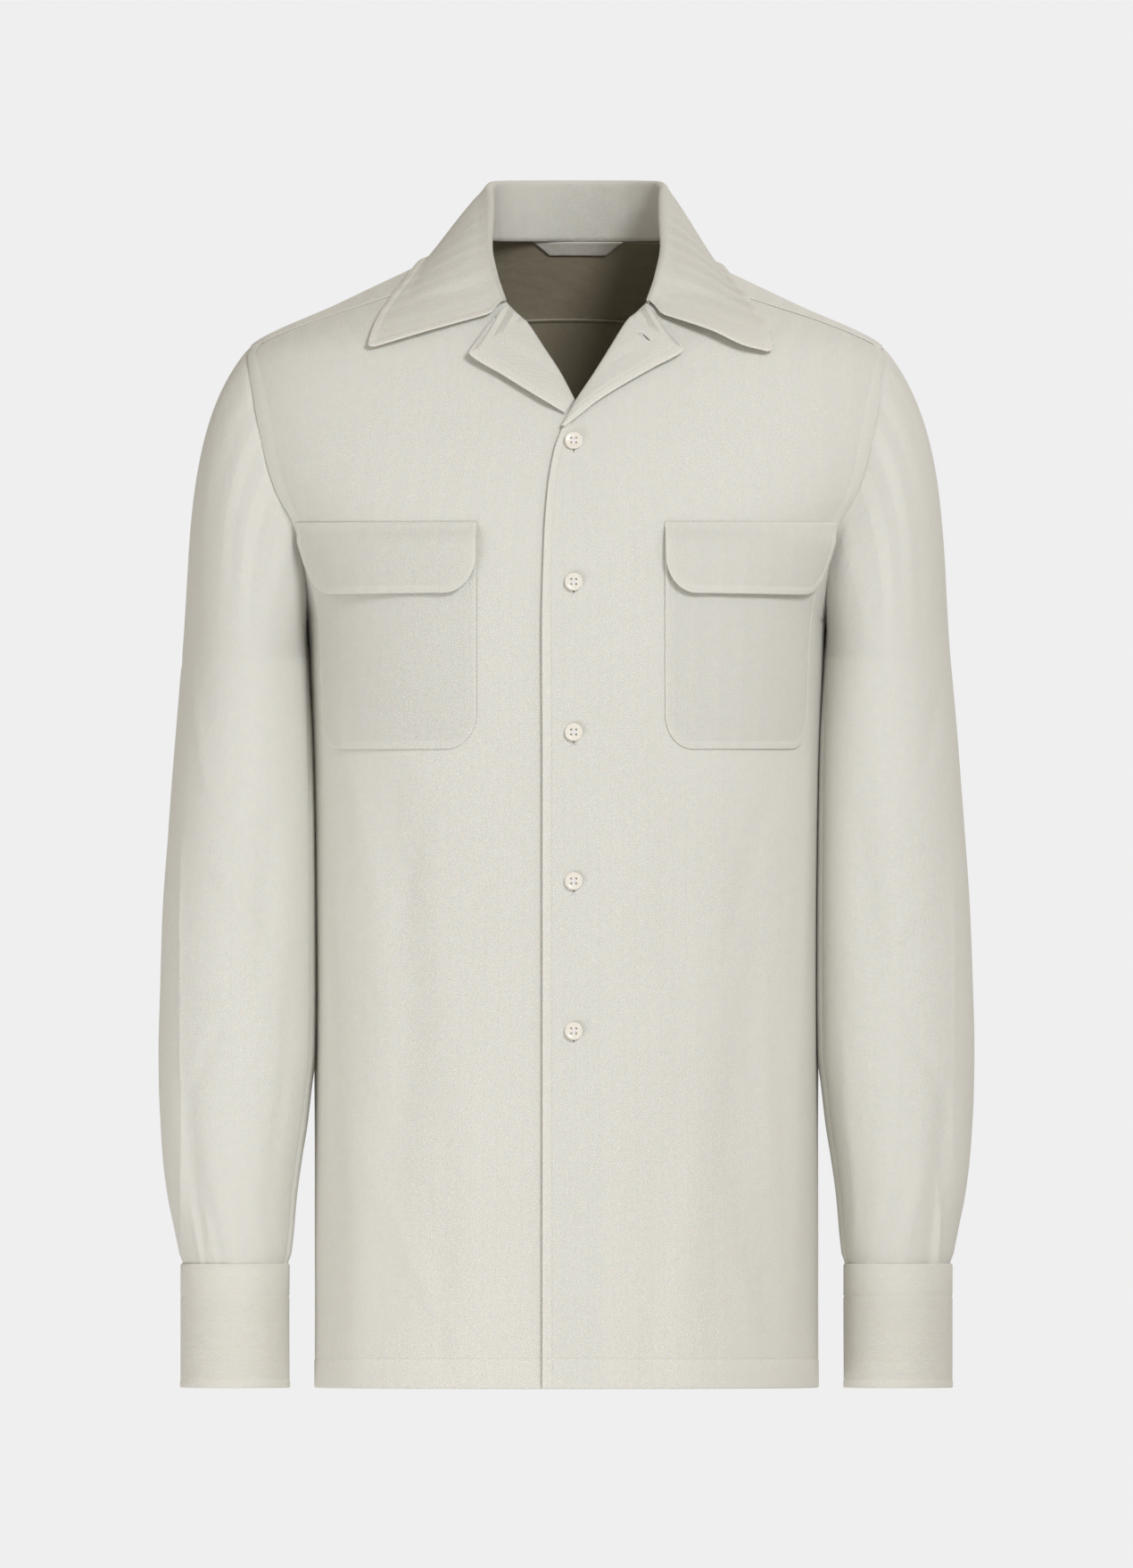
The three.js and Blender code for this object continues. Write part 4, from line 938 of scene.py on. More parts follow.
def collar_half(along, path, side):
    part = np.clip((path - ARC_END) / (1 - ARC_END), 0, 1)
    inset = corner_inset((1 - part) * COLLAR_FALL, COLLAR_TIP) / COLLAR_HALF
    along = along + inset * np.maximum(0, 1 - along / 0.12)
    seam, fold = neck_point(along, side), fold_top(along, side)
    edge = collar_edge_point(along, side)
    ahead, astern = np.minimum(1, along + 0.02), np.maximum(0, along - 0.02)
    run = unit(fold_top(ahead, side) - fold_top(astern, side))
    run = np.where((along > 0.999)[..., None], np.array([-side, 0.0, 0.0]), run)
    outward = edge - fold
    outward = outward - run * (outward * run).sum(axis=-1, keepdims=True)
    outward[..., 2] *= np.clip(1 - along / 0.3, 0, 1)
    outward = unit(outward - run * (outward * run).sum(axis=-1, keepdims=True))
    up = unit(np.cross(run, outward) * -side)
    radius = collar_fold["radius"](along)[..., None]
    centre = fold - up * radius
    base = seam - up * 1.2 - outward * 1.4
    behind = smooth_step(0.38, 0.56, along)
    base[..., 2] = lerp(base[..., 2], STAND_SEAM_Z, behind)
    down = ((edge - centre) * up).sum(axis=-1)
    out = ((edge - centre) * outward).sum(axis=-1)
    leave = np.arcsin(np.clip(radius[..., 0] / np.hypot(down, out), 0, 1))
    leave = np.clip(np.arctan2(-down, out) + leave, 0.3, np.pi / 2)[..., None]
    on_way = np.clip((path - RISE_END) / (ARC_END - RISE_END), 0, 1)[..., None]
    turn = lerp(-np.pi / 2, leave, on_way)
    arc = centre + outward * radius * np.sin(turn) + up * radius * np.cos(turn)
    rise = lerp(base, centre - outward * radius, np.clip(path / RISE_END, 0, 1)[..., None])
    front_share = np.maximum(0, 1 - along / 0.16)
    top = centre + outward * radius * np.sin(leave) + up * radius * np.cos(leave)
    fall = lerp(top, edge, part[..., None])
    drop = 7.3 * (1 - part) * smooth_step(0, 0.1, part)
    fall[..., 2] -= front_share * (drop + (side + 1) * np.exp(-(((part - 0.74) / 0.16) ** 2)))
    belly = np.sin(np.pi * part)
    fall = fall + up * (3 * belly * (1 - front_share) * smooth_step(0, 0.2, part))[..., None]
    arch = (6.5 if side > 0 else 3.0) * np.maximum(0, 1 - along / 0.24) ** 1.3 * belly ** 0.8
    free = 1.1 * part ** 3 + 1.0 * np.maximum(0, 1 - along / 0.1) * part ** 2
    gap = SINGLE + 0.9 + over_front_lift(np.abs(fall[..., 0])) + arch + free
    pushed = clear_of_body(fall, gap) - fall
    fall = fall - pushed * np.array([1, 0, 1]) * np.maximum(0, 1 - along / 0.25)[..., None]
    fall = clear_of_body(fall, gap)
    from_edge = (1 - part) * np.linalg.norm(edge - fold, axis=-1)
    from_end = np.minimum(along * COLLAR_HALF, 60)
    lift = welt(from_edge, COLLAR_STITCH, 0.6, 0.45)
    lift = lift + welt(from_end, COLLAR_STITCH, 0.6, 0.45) * (part > 0.02)
    fall = fall + up * (lift * smooth_step(0, 0.06, part))[..., None]
    on_fall, on_arc = (path > ARC_END)[..., None], (path > RISE_END)[..., None]
    return np.where(on_fall, fall, np.where(on_arc, arc, rise))


highest = collar_half(np.ones(1), np.array([(RISE_END + ARC_END) / 2]), 1)[0, 2]
print("the fold behind is", round(float(highest), 1), "mm above the origin")


# %% [markdown]
# Both halves in one piece of doubled cloth. The seam below the stand is drawn as a paler
# line only where it shows, inside the back of the neck.

# %% The collar
def collar_place(round_neck, path):
    along = 1 - np.abs(round_neck)
    left, right = collar_half(along, path, 1), collar_half(along, path, -1)
    return np.where((round_neck > 0)[..., None], left, right)


def collar_cut(round_neck, path):
    return np.stack([round_neck * 240, path * 120], axis=-1)


def collar_edge_mask(round_neck, path):
    along = 1 - np.abs(round_neck)
    part = (path - ARC_END) / (1 - ARC_END)
    from_edge = np.where(part > 0, (1 - part) * 70, 60)
    from_end = np.where(part > 0.05, along * COLLAR_HALF, 60)
    pale = paleness(from_edge, COLLAR_STITCH) + paleness(from_end, COLLAR_STITCH)
    stand_seam = paleness(np.maximum(0, path) / RISE_END * 38, 1.5) * (along > 0.3)
    return np.clip(pale + stand_seam, 0, 1)


collar_columns = places(
    2 * COLLAR_HALF, 3.0, near_edge(COLLAR_STITCH), near_edge(COLLAR_STITCH))
collar_rows = np.unique(np.concatenate([
    np.linspace(0, RISE_END, 12), np.linspace(RISE_END, ARC_END, 11),
    ARC_END + (1 - ARC_END) * places(COLLAR_FALL, 2.6, (0,), near_edge(COLLAR_STITCH)),
]))
collar = cloth(
    "collar_cloth", lerp(-1, 1, collar_columns), collar_rows, collar_place, collar_cut,
    collar_edge_mask, thickness=DOUBLE, material=trim_cotton,
)
put_in(collar, "collar")

# %% [markdown]
# Each lapel is the top of a front turned over, so it starts at the roll line, rises over a
# soft roll and comes down on the chest. Its weave runs across that of the front, because
# the cloth is turned round there.

# %% The outlines of the lapels
LAPELS = {
    1: table(
        "part roll_x roll_z edge_x edge_z",
        (0, 50, -25, 58.6, -34.6), (0.12, 46, -28.5, 66.2, -42.9), (0.23, 41, -32.2, 72.8, -50),
        (0.25, 40, -33, 73.6, -51.2), (0.27, 39, -34, 72.6, -52.4),
        (0.45, 28.7, -50, 56, -61.5), (0.65, 17.5, -68, 38, -71.5), (0.82, 6.2, -85, 19, -83.2),
        (0.94, 0.5, -95, 6, -93.5), (1, -2.6, -100.5, -1.6, -99.6)),
    -1: table(
        "part roll_x roll_z edge_x edge_z",
        (0, -37, -24.8, -47.4, -35), (0.13, -32, -29, -54, -44), (0.25, -27, -33.2, -60.2, -52.4),
        (0.27, -26, -34, -61, -53.6), (0.29, -25.1, -35, -60, -54.9),
        (0.5, -15, -50, -41, -66.5), (0.75, -4, -67, -20, -79.5), (1, 4.6, -83.5, -0.6, -91)),
}
LAPEL_STITCH = 5.0
LAPEL_ROLL, LAPEL_WIDTH = 105, 36    # along the roll line, and from it to the edge


def lapel_outline(side, part):
    """The places on the roll line and on the free edge, seen from the front."""
    read = {name: column(LAPELS[side], "part", name)(part) for name in LAPELS[side][0]}
    roll = np.stack([read["roll_x"], read["roll_z"]], axis=-1)
    edge = np.stack([read["edge_x"], read["edge_z"]], axis=-1)
    return roll, edge, np.linalg.norm(edge - roll, axis=-1)


for side in (-1, 1):
    print("lapel", side, "is", round(float(lapel_outline(side, 0.25)[2])), "mm wide at its point")

# %% [markdown]
# Between the two lines the lapel rises over its roll, is a little plump in the middle and
# stands freer towards its edge, most of all at its point. The places it is made from are
# those of its under side, and its thickness goes outwards from them.

# %% The lapels
def lapel_maker(side):
    def place(part, width):
        roll, edge, full = lapel_outline(side, part)
        x, z = (lerp(roll[..., k], edge[..., k], width) for k in (0, 1))
        under = over_front_lift(x) if side > 0 else 0
        from_edge, from_roll = full * (1 - width), full * width
        rolled = 1.5 * (1 - np.exp(-from_roll / 1.2)) - 1.0
        plump = 2.2 * np.sin(np.pi * np.minimum(1, width * 1.1)) * (1 - 0.6 * part)
        free = (2.5 - 0.7 * side) * width ** 2 * smooth_step(1.02, 0.8, part)
        lift_tip = 1.4 * np.exp(-(((part - 0.25) / 0.14) ** 2)) * width ** 2
        lift = under + SINGLE + 0.5 + rolled + plump + free + lift_tip
        lift = lift + welt(from_edge, LAPEL_STITCH, 0.55, 0.45) * smooth_step(0, 2, from_roll)
        flat = stack(x, 0 * x, z)
        lifted = on_body(turn_at_x(x, z), z, lift)
        moved = lifted - flat
        x, z = x - moved[..., 0] * width, z - moved[..., 2] * width
        return on_body(turn_at_x(x, z), z, lift)

    def cut(part, width):
        return np.stack([-lapel_outline(side, part)[2] * (1 - width), part * LAPEL_ROLL], axis=-1)

    def edge_mask(part, width):
        return paleness(lapel_outline(side, part)[2] * (1 - width), LAPEL_STITCH)

    return place, cut, edge_mask


lapel_rows = np.unique(np.concatenate([
    np.linspace(0, 0.16, 9), places(LAPEL_WIDTH, 1.2, (0,), near_edge(LAPEL_STITCH))]))
lapels = {}
for name, side in (("lapel_right", -1), ("lapel_left", 1)):
    place, cut, edge = lapel_maker(side)
    piece = cloth(
        name + "_cloth", places(LAPEL_ROLL, 1.8, (0, 1), (0, 1)), lapel_rows, place, cut, edge,
        facing=-side, material=trim_cotton)
    put_in(piece, name)
    lapels[side] = place

# %% [markdown]
# A sleeve leaves the armhole outwards and turns down over the arm, so its head is a set of
# curves that start at the armhole seam and end in the first level section. Below that it
# hangs, nearly straight, and narrows into the cuff. Its creases are slight and slanting.

# %% Sleeve sizes
SLEEVE = table(
    "z outer inner front back middle",
    (-245, 241.3, 161.2, 66, 68, -10), (-300, 246, 159.2, 61, 63, -17),
    (-358, 250.4, 158.2, 58, 60, -20), (-403, 253.4, 157.8, 56, 58, -20),
    (-448, 255, 157.7, 54, 56, -20), (-493, 256.2, 158.3, 52.5, 54, -19),
    (-515, 256, 160.8, 51.5, 53, -18.5), (-538, 255, 163.5, 50, 52, -18),
    (-560, 253.4, 167, 49, 50.5, -17.7), (-582, 250.6, 170, 47.5, 49, -17.4),
    (-605, 246, 172, 45, 46.5, -17.2), (-624.4, 242.8, 173.8, 42.4, 43.6, -17),
    (-703, 242.5, 174, 42, 43, -17),
)
sleeve_size = {name: column(SLEEVE, "z", name) for name in SLEEVE[0]}
SLEEVE_TOP_Z, SLEEVE_END_Z = -245, -628


def sleeve_oval(turn, z):
    """Half the width, the middle and the depth of a level section, at a turn."""
    outer, inner = sleeve_size["outer"](z), sleeve_size["inner"](z)
    in_front = np.sin(np.radians(turn)) > 0
    depth = np.where(in_front, sleeve_size["front"](z), sleeve_size["back"](z))
    return (outer - inner) / 2, (outer + inner) / 2, depth


print("upper sleeve is", round(2 * float(sleeve_oval(0, -300)[0])), "mm wide")

# %% [markdown]
# The sleeve's folds are rows of a table too. The arm's turns start at its outer side and
# go round by the front. Creases pressed with an iron run straight down at a distance from
# the middle of the shirt, and each is a sharp ridge, unlike the soft folds.

# %% Folds, creases and seam of the sleeves
SLEEVE_FOLDS = table(
    "top_turn bottom_turn top bottom depth spread",
    (120, 100, -330, -460, -3, 14), (45, 60, -500, -640, -2.6, 11),
    (250, 230, -360, -520, -3, 14), (256, 250, -540, -650, -2.6, 12),
)
CREASE_HEAD = "top_turn bottom_turn top bottom depth spread"
SLEEVE_CREASES = {
    1: table(
        CREASE_HEAD,
        (62, 118, -392, -452, 1.1, 6), (84, 40, -470, -540, -1.2, 6),
        (104, 74, -300, -372, 0.9, 7), (72, 88, -560, -640, 1.0, 5),
        (96, 104, -575, -640, -0.9, 4), (50, 44, -575, -645, 1.3, 4),
        (36, 70, -255, -330, -0.7, 7), (128, 140, -470, -620, 1.1, 6),
        (300, 262, -380, -450, 1.3, 7), (280, 310, -470, -560, -1.2, 7),
        (330, 318, -300, -420, 0.8, 6)),
    -1: table(
        CREASE_HEAD,
        (70, 112, -372, -430, 1.2, 6), (92, 52, -452, -520, -1.1, 6),
        (110, 80, -286, -350, 0.8, 7), (66, 78, -566, -642, -1.1, 4),
        (88, 92, -560, -640, 0.9, 4), (46, 52, -580, -645, 1.1, 4),
        (40, 66, -262, -340, 0.7, 7), (132, 126, -430, -600, -1.0, 6),
        (296, 270, -360, -440, 1.2, 7), (274, 300, -480, -570, 1.1, 7),
        (322, 328, -310, -440, -0.8, 6)),
}
PRESSED_CREASES = {
    1: table("x top bottom height", (243, -360, -575, 0.9), (234, -562, -640, 1.5)),
    -1: table("x top bottom height", (242, -340, -640, 1.4), (226, -590, -640, 0.6)),
}
INSEAM_TURN = 161


def away_from_body(turn):
    """From 0.1 where the sleeve touches the body to 1 away from it."""
    return 1 - 0.9 * np.exp(-((((turn - 180 + 540) % 360 - 180) / 28) ** 2))


def pressed(turn, z, side, half, centre):
    total = np.zeros(np.broadcast(turn, z).shape)
    for row in PRESSED_CREASES[side]:
        part = np.clip((row["top"] - z) / (row["top"] - row["bottom"]), 0, 1)
        middle = np.degrees(np.arccos(np.clip((row["x"] - centre) / half, -1, 0.99)))
        away = np.abs((turn - middle + 540) % 360 - 180) / 5
        fades = smooth_step(0, 0.25, part) * (1 - smooth_step(0.85, 1, part))
        total = total + row["height"] * fades * np.exp(-away)
    return total


def inseam(turn, z):
    """The felled seam down the inner side of a sleeve."""
    away = (turn % 360) - INSEAM_TURN
    raised = 0.8 * smooth_step(-1.5, 1.5, away) * (1 - smooth_step(26, 34, away))
    return (raised - 0.9 * np.exp(-((away / 2.0) ** 2))) * smooth_step(-250, -300, z)


def sleeve_ripple(turn, z, side):
    return 0.35 * ripple((turn % 360) * 0.9, z, 3.0 + side) * away_from_body(turn)


def sleeve_section(turn, z, side):
    angle = np.radians(turn)
    half, centre, depth = sleeve_oval(turn, z)
    fold = fold_depth(SLEEVE_FOLDS, turn, z) + fold_depth(SLEEVE_CREASES[side], turn, z)
    fold = fold * away_from_body(turn) + sleeve_ripple(turn, z, side) * (z < SLEEVE_TOP_Z - 4.5)
    fold = fold + pressed(turn, z, side, half, centre) + inseam(turn, z)
    fold = fold - 1.9 * smooth_step(-618, -626, z)
    x = centre + (half + fold) * np.cos(angle)
    return stack(x, sleeve_size["middle"](z) - (depth + fold) * np.sin(angle), z)


wrist = sleeve_section(np.linspace(0, 360, 181), np.full(181, -600.0), 1)
wrist = np.linalg.norm(np.diff(wrist, axis=0), axis=-1).sum()
print("the sleeve is", round(float(wrist)), "mm round above the cuff")

# %% [markdown]
# The sleeve head: from each place on the armhole a curve leaves outwards, most at the top,
# and arrives in the slope of the first level section, so the two join without a ridge.
# Its own creases are given with its length from the seam down as 0 to 100.

# %% The sleeve head
SLEEVE_HEAD_CREASES = table(
    CREASE_HEAD,
    (100, 62, 96, 6, 1.3, 7), (126, 96, 98, 12, -1.5, 7), (60, 48, 90, 20, -1.0, 8),
    (262, 292, 96, 6, 1.4, 8), (236, 262, 98, 12, -1.4, 8), (318, 306, 92, 24, 1.0, 9),
    (14, 24, 90, 30, 0.8, 7),
)


def sleeve_head(turn, part, side):
    angle = np.radians(turn)
    seam = armhole_point(-turn)
    end = sleeve_section(turn, np.full_like(turn, SLEEVE_TOP_Z), side)
    inwards = -body_normal(turn_at(seam[..., 0], seam[..., 1]), np.clip(seam[..., 2], -700, 23))
    chord = np.linalg.norm(end - seam, axis=-1)[..., None]
    top = (1 + np.cos(angle)) / 2
    leaving = unit(stack(lerp(0.0, 0.7, top), -0.25 * np.sin(angle), -0.76))
    start = seam + leaving * 0.3
    arriving = unit(sleeve_section(turn, np.full_like(turn, SLEEVE_TOP_Z - 4), side) - end)
    t = part[..., None]
    points = start * (1 + 2 * t) * (1 - t) ** 2 + leaving * t * (1 - t) ** 2 * chord * 0.95
    points = points + end * t * t * (3 - 2 * t) + arriving * t * t * (t - 1) * chord
    gathered = 0.5 * np.sin(np.radians(turn * 11)) * np.exp(-part / 0.08)
    gathered = gathered * np.cos(angle / 2) ** 2
    away = unit(stack(np.cos(angle), -np.sin(angle), 0))
    soft = 0.35 * fold_depth(SLEEVE_HEAD_CREASES, turn, part * 100)
    soft = soft * smooth_step(0, 0.3, 1 - part)
    soft = soft + sleeve_ripple(turn, points[..., 2], side) * smooth_step(0, 0.3, part)
    points = points + away * (gathered + soft)[..., None]
    under = 0.9 * (1 - smooth_step(0, 0.03, part))
    return points + (inwards - leaving * 1.2) * under[..., None]


crown = sleeve_head(np.zeros(20), np.linspace(0, 1, 20), 1)
crown = np.linalg.norm(np.diff(crown, axis=0), axis=-1).sum()
print("the head is", round(float(crown)), "mm long over the shoulder")

# %% [markdown]
# Head and hanging part in one grid. Its columns are closer together at the seam on the
# inner side, and where the pressed creases run.

# %% The two sleeves
SLEEVE_LENGTH = 570
HEAD_SHARE = 0.32    # how much of the length the head takes


def sleeve_z(down):
    hanging = np.clip((down - HEAD_SHARE) / (1 - HEAD_SHARE), 0, 1)
    return lerp(SLEEVE_TOP_Z, SLEEVE_END_Z, hanging)


def sleeve_place(side):
    def place(round_arm, down):
        turn = 180 + round_arm * 360
        head = sleeve_head(turn, np.clip(down / HEAD_SHARE, 0, 1), side)
        hanging = sleeve_section(turn, sleeve_z(down), side)
        points = np.where((down <= HEAD_SHARE)[..., None], head, hanging)
        points[..., 0] *= side
        return points
    return place


def sleeve_cut(round_arm, down):
    z = sleeve_z(down)
    across = sleeve_size["outer"](z) - sleeve_size["inner"](z)
    girth = np.pi * (across + sleeve_size["front"](z) * 2) / 2
    return np.stack([(round_arm - 0.5) * girth, -down * SLEEVE_LENGTH], axis=-1)


def sleeve_edge(round_arm, down):
    turn = (180 + round_arm * 360) % 360
    seam = smooth_step(INSEAM_TURN, INSEAM_TURN + 3, turn) * (1 - smooth_step(190, 196, turn))
    armhole = 0.5 * np.exp(-((down * SLEEVE_LENGTH / 1.5) ** 2))
    return np.clip(armhole + 0.8 * seam * smooth_step(0.35, 0.45, down), 0, 1)


sleeve_rows = places(SLEEVE_LENGTH, 3.5, (0, 1.2, 2.4, 3.8, 5.2), (0, 1, 2, 3, 4.5, 6))
sleeve_columns = np.unique(np.concatenate([
    np.linspace(0, 1, 105), np.linspace(0.42, 0.66, 70), np.linspace(0.93, 0.96, 9)]))
for name, side in (("sleeve_right", -1), ("sleeve_left", 1)):
    piece = cloth(
        name + "_cloth", sleeve_columns, sleeve_rows, sleeve_place(side), sleeve_cut,
        sleeve_edge, facing=side, ring=True, inside=inside_painted_shade_cotton)
    put_in(piece, name)

# %% [markdown]
# A cuff is a band of doubled cloth whose ends lap at the back of the wrist, where a button
# holds them. Above it the sleeve has a short bound opening, so that a hand can pass.

# %% The shape of a cuff
CUFF_TOP_Z, CUFF_START, CUFF_WRAP = -625, 292, 376
CUFF_EDGE_STITCH, CUFF_TOP_STITCH = 5.0, 20.7
CUFF_HEIGHT, CUFF_LENGTH = 78, 245


def cuff_place(side):
    def place(round_wrist, up):
        wrap, z = round_wrist * CUFF_WRAP, lerp(HEM_Z, CUFF_TOP_Z, up)
        turn = CUFF_START + wrap
        angle = np.radians(turn)
        half, centre, depth = sleeve_oval(turn, z)
        from_top, from_bottom = CUFF_TOP_Z - z, z - HEM_Z
        from_end = np.minimum(round_wrist, 1 - round_wrist) * CUFF_LENGTH
        lift = 2.1 * smooth_step(270, 350, wrap)
        lift = lift + welt(from_bottom, CUFF_EDGE_STITCH, 0.3, 0.3)
        lift = lift + welt(from_end, CUFF_EDGE_STITCH, 0.3, 0.25)
        lift = lift - 0.45 * np.exp(-(((from_top - CUFF_TOP_STITCH) / 0.6) ** 2))
        lift = lift - 0.9 * np.maximum(0, 1 - from_top / 1.4) ** 2
        lift = lift + 0.3 * ripple(wrap, z, 5.0 + side)
        lift = lift + 0.25 * np.sin(np.radians(wrap * 5 + 40 * side)) * np.exp(-from_top / 14)
        x = centre + (half + lift) * np.cos(angle)
        y = sleeve_size["middle"](z) - (depth + lift) * np.sin(angle)
        return stack(side * x, y, z)
    return place


def cuff_cut(round_wrist, up):
    return np.stack([up * CUFF_HEIGHT, round_wrist * CUFF_LENGTH], axis=-1)


def cuff_edge(round_wrist, up):
    below = paleness(up * CUFF_HEIGHT, CUFF_EDGE_STITCH)
    return np.clip(below + paleness((1 - up) * CUFF_HEIGHT, CUFF_TOP_STITCH), 0, 1)


print("a cuff goes", CUFF_WRAP, "degrees round, so its ends lap by", CUFF_WRAP - 360)

# %% [markdown]
# The opening's binding is a narrow band on the back of the sleeve above the cuff. It lies
# on the sleeve's own points, so it bends and creases with the sleeve.

# %% Cuffs and sleeve openings
OPENING_WIDTH, OPENING_LENGTH, OPENING_STITCH = 22, 114, 2


def opening_place(side):
    def place(across, up):
        turn, z = lerp(296, 320, across), lerp(-624.2, -510, up)
        points = sleeve_section(turn, z, side)
        away = unit(stack(np.cos(np.radians(turn)), -np.sin(np.radians(turn)), 0))
        rim = np.minimum(across, 1 - across) * OPENING_WIDTH
        rim = np.minimum(rim, (1 - up) * OPENING_LENGTH)
        lift = SINGLE + 0.15 + welt(rim, OPENING_STITCH, 0.3, 0.2)
        points = points + away * lift[..., None]
        points[..., 0] *= side
        return points
    return place


def opening_cut(across, up):
    return np.stack([across * OPENING_WIDTH, up * OPENING_LENGTH], axis=-1)


cuff_rows = places(
    CUFF_HEIGHT, 2.4, near_edge(CUFF_EDGE_STITCH), [0, 0.4, 1.2, 19.4, 20.1, 20.7, 21.3, 22])
cuff_columns = places(
    CUFF_LENGTH, 2.6, near_edge(CUFF_EDGE_STITCH), near_edge(CUFF_EDGE_STITCH))
opening_columns = places(
    OPENING_WIDTH, 1.6, near_edge(OPENING_STITCH), near_edge(OPENING_STITCH))
opening_rows = places(OPENING_LENGTH, 3, (0, 1), near_edge(OPENING_STITCH))
for name, side in (("right", -1), ("left", 1)):
    piece = cloth(
        f"cuff_{name}_cloth", cuff_columns, cuff_rows, cuff_place(side), cuff_cut, cuff_edge,
        facing=-side, thickness=DOUBLE, material=trim_cotton)
    put_in(piece, f"cuff_{name}")
    piece = cloth(
        f"sleeve_opening_{name}_cloth", opening_columns, opening_rows, opening_place(side),
        opening_cut, facing=-side, material=trim_cotton)
    put_in(piece, f"sleeve_opening_{name}")

# %% [markdown]
# Patch pockets and their flaps are cut flat with rounded lower corners and sewn on the
# chest. Each is worked out in its own flat sizes and then laid on the front's points, a
# little fuller in the middle than at its stitched edge. The flap hangs from its upper
# edge and stands off the pocket below, so a soft shadow falls under it.

# %% The shape of a patch
PATCH_STITCH = 4.5
PATCH_FROM_ARMHOLE = 1.5
PATCH_KINDS = {row["kind"]: row for row in table(
    "kind top bottom width corner belly",
    ("pocket", -168.5, -302, 131, 22, 2.6), ("pocket_flap", -159.5, -204, 133, 23, 2.4),
)}


def patch_maker(kind, side, inner_x, outer_turn, lift):
    shape = PATCH_KINDS[kind]
    width, corner, length = shape["width"], shape["corner"], shape["top"] - shape["bottom"]

    def flat(across, up):
        height = up * length
        inset = corner_inset(height, corner)
        return lerp(inset, width - inset, across), height

    def from_edge(across, up):
        x, y = flat(across, up)
        dx = np.abs(x - width / 2) - (width / 2 - corner)
        dy = np.where(y < length / 2, (corner - y), -99)
        outside = np.hypot(np.maximum(dx, 0), np.maximum(dy, 0))
        near = corner - (outside + np.minimum(np.maximum(dx, dy), 0))
        return np.minimum(near, length - y) if kind == "pocket_flap" else near

    def place(across, up):
        x, y = flat(across, up)
        z = shape["bottom"] + y
        limit = armhole_turn(z, False) - PATCH_FROM_ARMHOLE
        turn = lerp(turn_at_x(inner_x, z), np.minimum(outer_turn, limit), x / width)
        full = np.sin(np.pi * x / width) * np.sin(np.pi * np.minimum(1, (1 - y / length) * 0.95))
        cover = over_front_lift(body_plain(turn, z)[..., 0]) if side > 0 else 0
        edge = welt(from_edge(across, up), PATCH_STITCH, 0.25, 0.35)
        lifted = lift(1 - y / length, x / width) + shape["belly"] * full + cover + edge
        return on_body(side * turn, z, lifted + 0.3 * ripple(x, y, 7.0))

    def cut(across, up):
        x, y = flat(across, up)
        return np.stack([side * x, y], axis=-1)

    def edge_mask(across, up):
        return paleness(from_edge(across, up), PATCH_STITCH)

    return place, cut, edge_mask


for kind, row in PATCH_KINDS.items():
    print(kind, "is", row["width"], "by", row["top"] - row["bottom"], "mm")

# %% [markdown]
# A pocket lies close to the front, and a flap stands off it more towards its lower edge,
# by a different amount along that edge on each side of the shirt.

# %% Pockets and flaps
PATCHES = table(
    "side name inner_x outer_turn flap_turn",
    (-1, "right", 56.4, 71.5, 69.2), (1, "left", 61.6, 69.5, 69.2),
)
# How far the lower edge of a flap stands off more, from its inner end (0) to its outer end.
FLAP_STANDS_OFF = {
    1: table("x off", (0, 2.5), (0.25, 2.0), (0.45, 3.0), (0.7, 2.6), (1, -0.5)),
    -1: table("x off", (0, 2.6), (0.3, 0.8), (0.55, 1.8), (0.8, 0.6), (1, 0)),
}


def pocket_lift(down, x):
    return SINGLE + 0.15 + 0.5 * smooth_step(0.5, 0.0, down)


def flap_lift(side):
    stands_off = column(FLAP_STANDS_OFF[side], "x", "off")

    def lift(down, x):
        return SINGLE + 0.2 + 3.9 * smooth_step(0, 0.3, down) + stands_off(x) * down ** 2

    return lift


patch_columns = places(131, 2.2, near_edge(PATCH_STITCH), near_edge(PATCH_STITCH))
lower_rows = [0, 0.35, 0.9, 2, 3.3, 4, 4.5, 5, 5.8, 8, 11, 15, 19]
patches = []
for row in PATCHES:
    side, inner_x = row["side"], row["inner_x"]
    for kind, start_x, outer_turn, lift in (
        ("pocket", inner_x, row["outer_turn"], pocket_lift),
        ("pocket_flap", inner_x - 0.2, row["flap_turn"], flap_lift(side)),
    ):
        place, cut, edge = patch_maker(kind, side, start_x, outer_turn, lift)
        shape = PATCH_KINDS[kind]
        rows = places(shape["top"] - shape["bottom"], 2.2, lower_rows, (0, 0.8, 3, 4, 5))
        name = f"{kind}_{row['name']}"
        piece = cloth(name + "_cloth", patch_columns, rows, place, cut, edge,
                      facing=side, material=trim_cotton)
        put_in(piece, name)
        patches.append((kind, side, place))

# %% [markdown]
# The neck label is a bare piece of woven tape, sewn inside the back of the neck. It is
# wider above than below. Its thickness goes the other way from that of the other pieces,
# because it lies on the inner side of the back.

# %% The neck label
LABEL_LENGTH, LABEL_WIDTH = 50, 10
LABEL = table("up z low high", (0, 9.2, -10.6, 25), (1, 18, -21.6, 36))


def label_place(across, up):
    z, low, high = (column(LABEL, "up", name)(up) for name in ("z", "low", "high"))
    x = lerp(low, high, across)
    turn = turn_at(x, side_depth(x, z, back_depth))
    rim = np.minimum(
        np.minimum(across, 1 - across) * LABEL_LENGTH, np.minimum(up, 1 - up) * LABEL_WIDTH)
    return on_body(turn, z, -(SINGLE + 0.9) - 0.2 * smooth_step(0, 1.2, rim))


def label_cut(across, up):
    return np.stack([across * LABEL_LENGTH, up * LABEL_WIDTH], axis=-1)


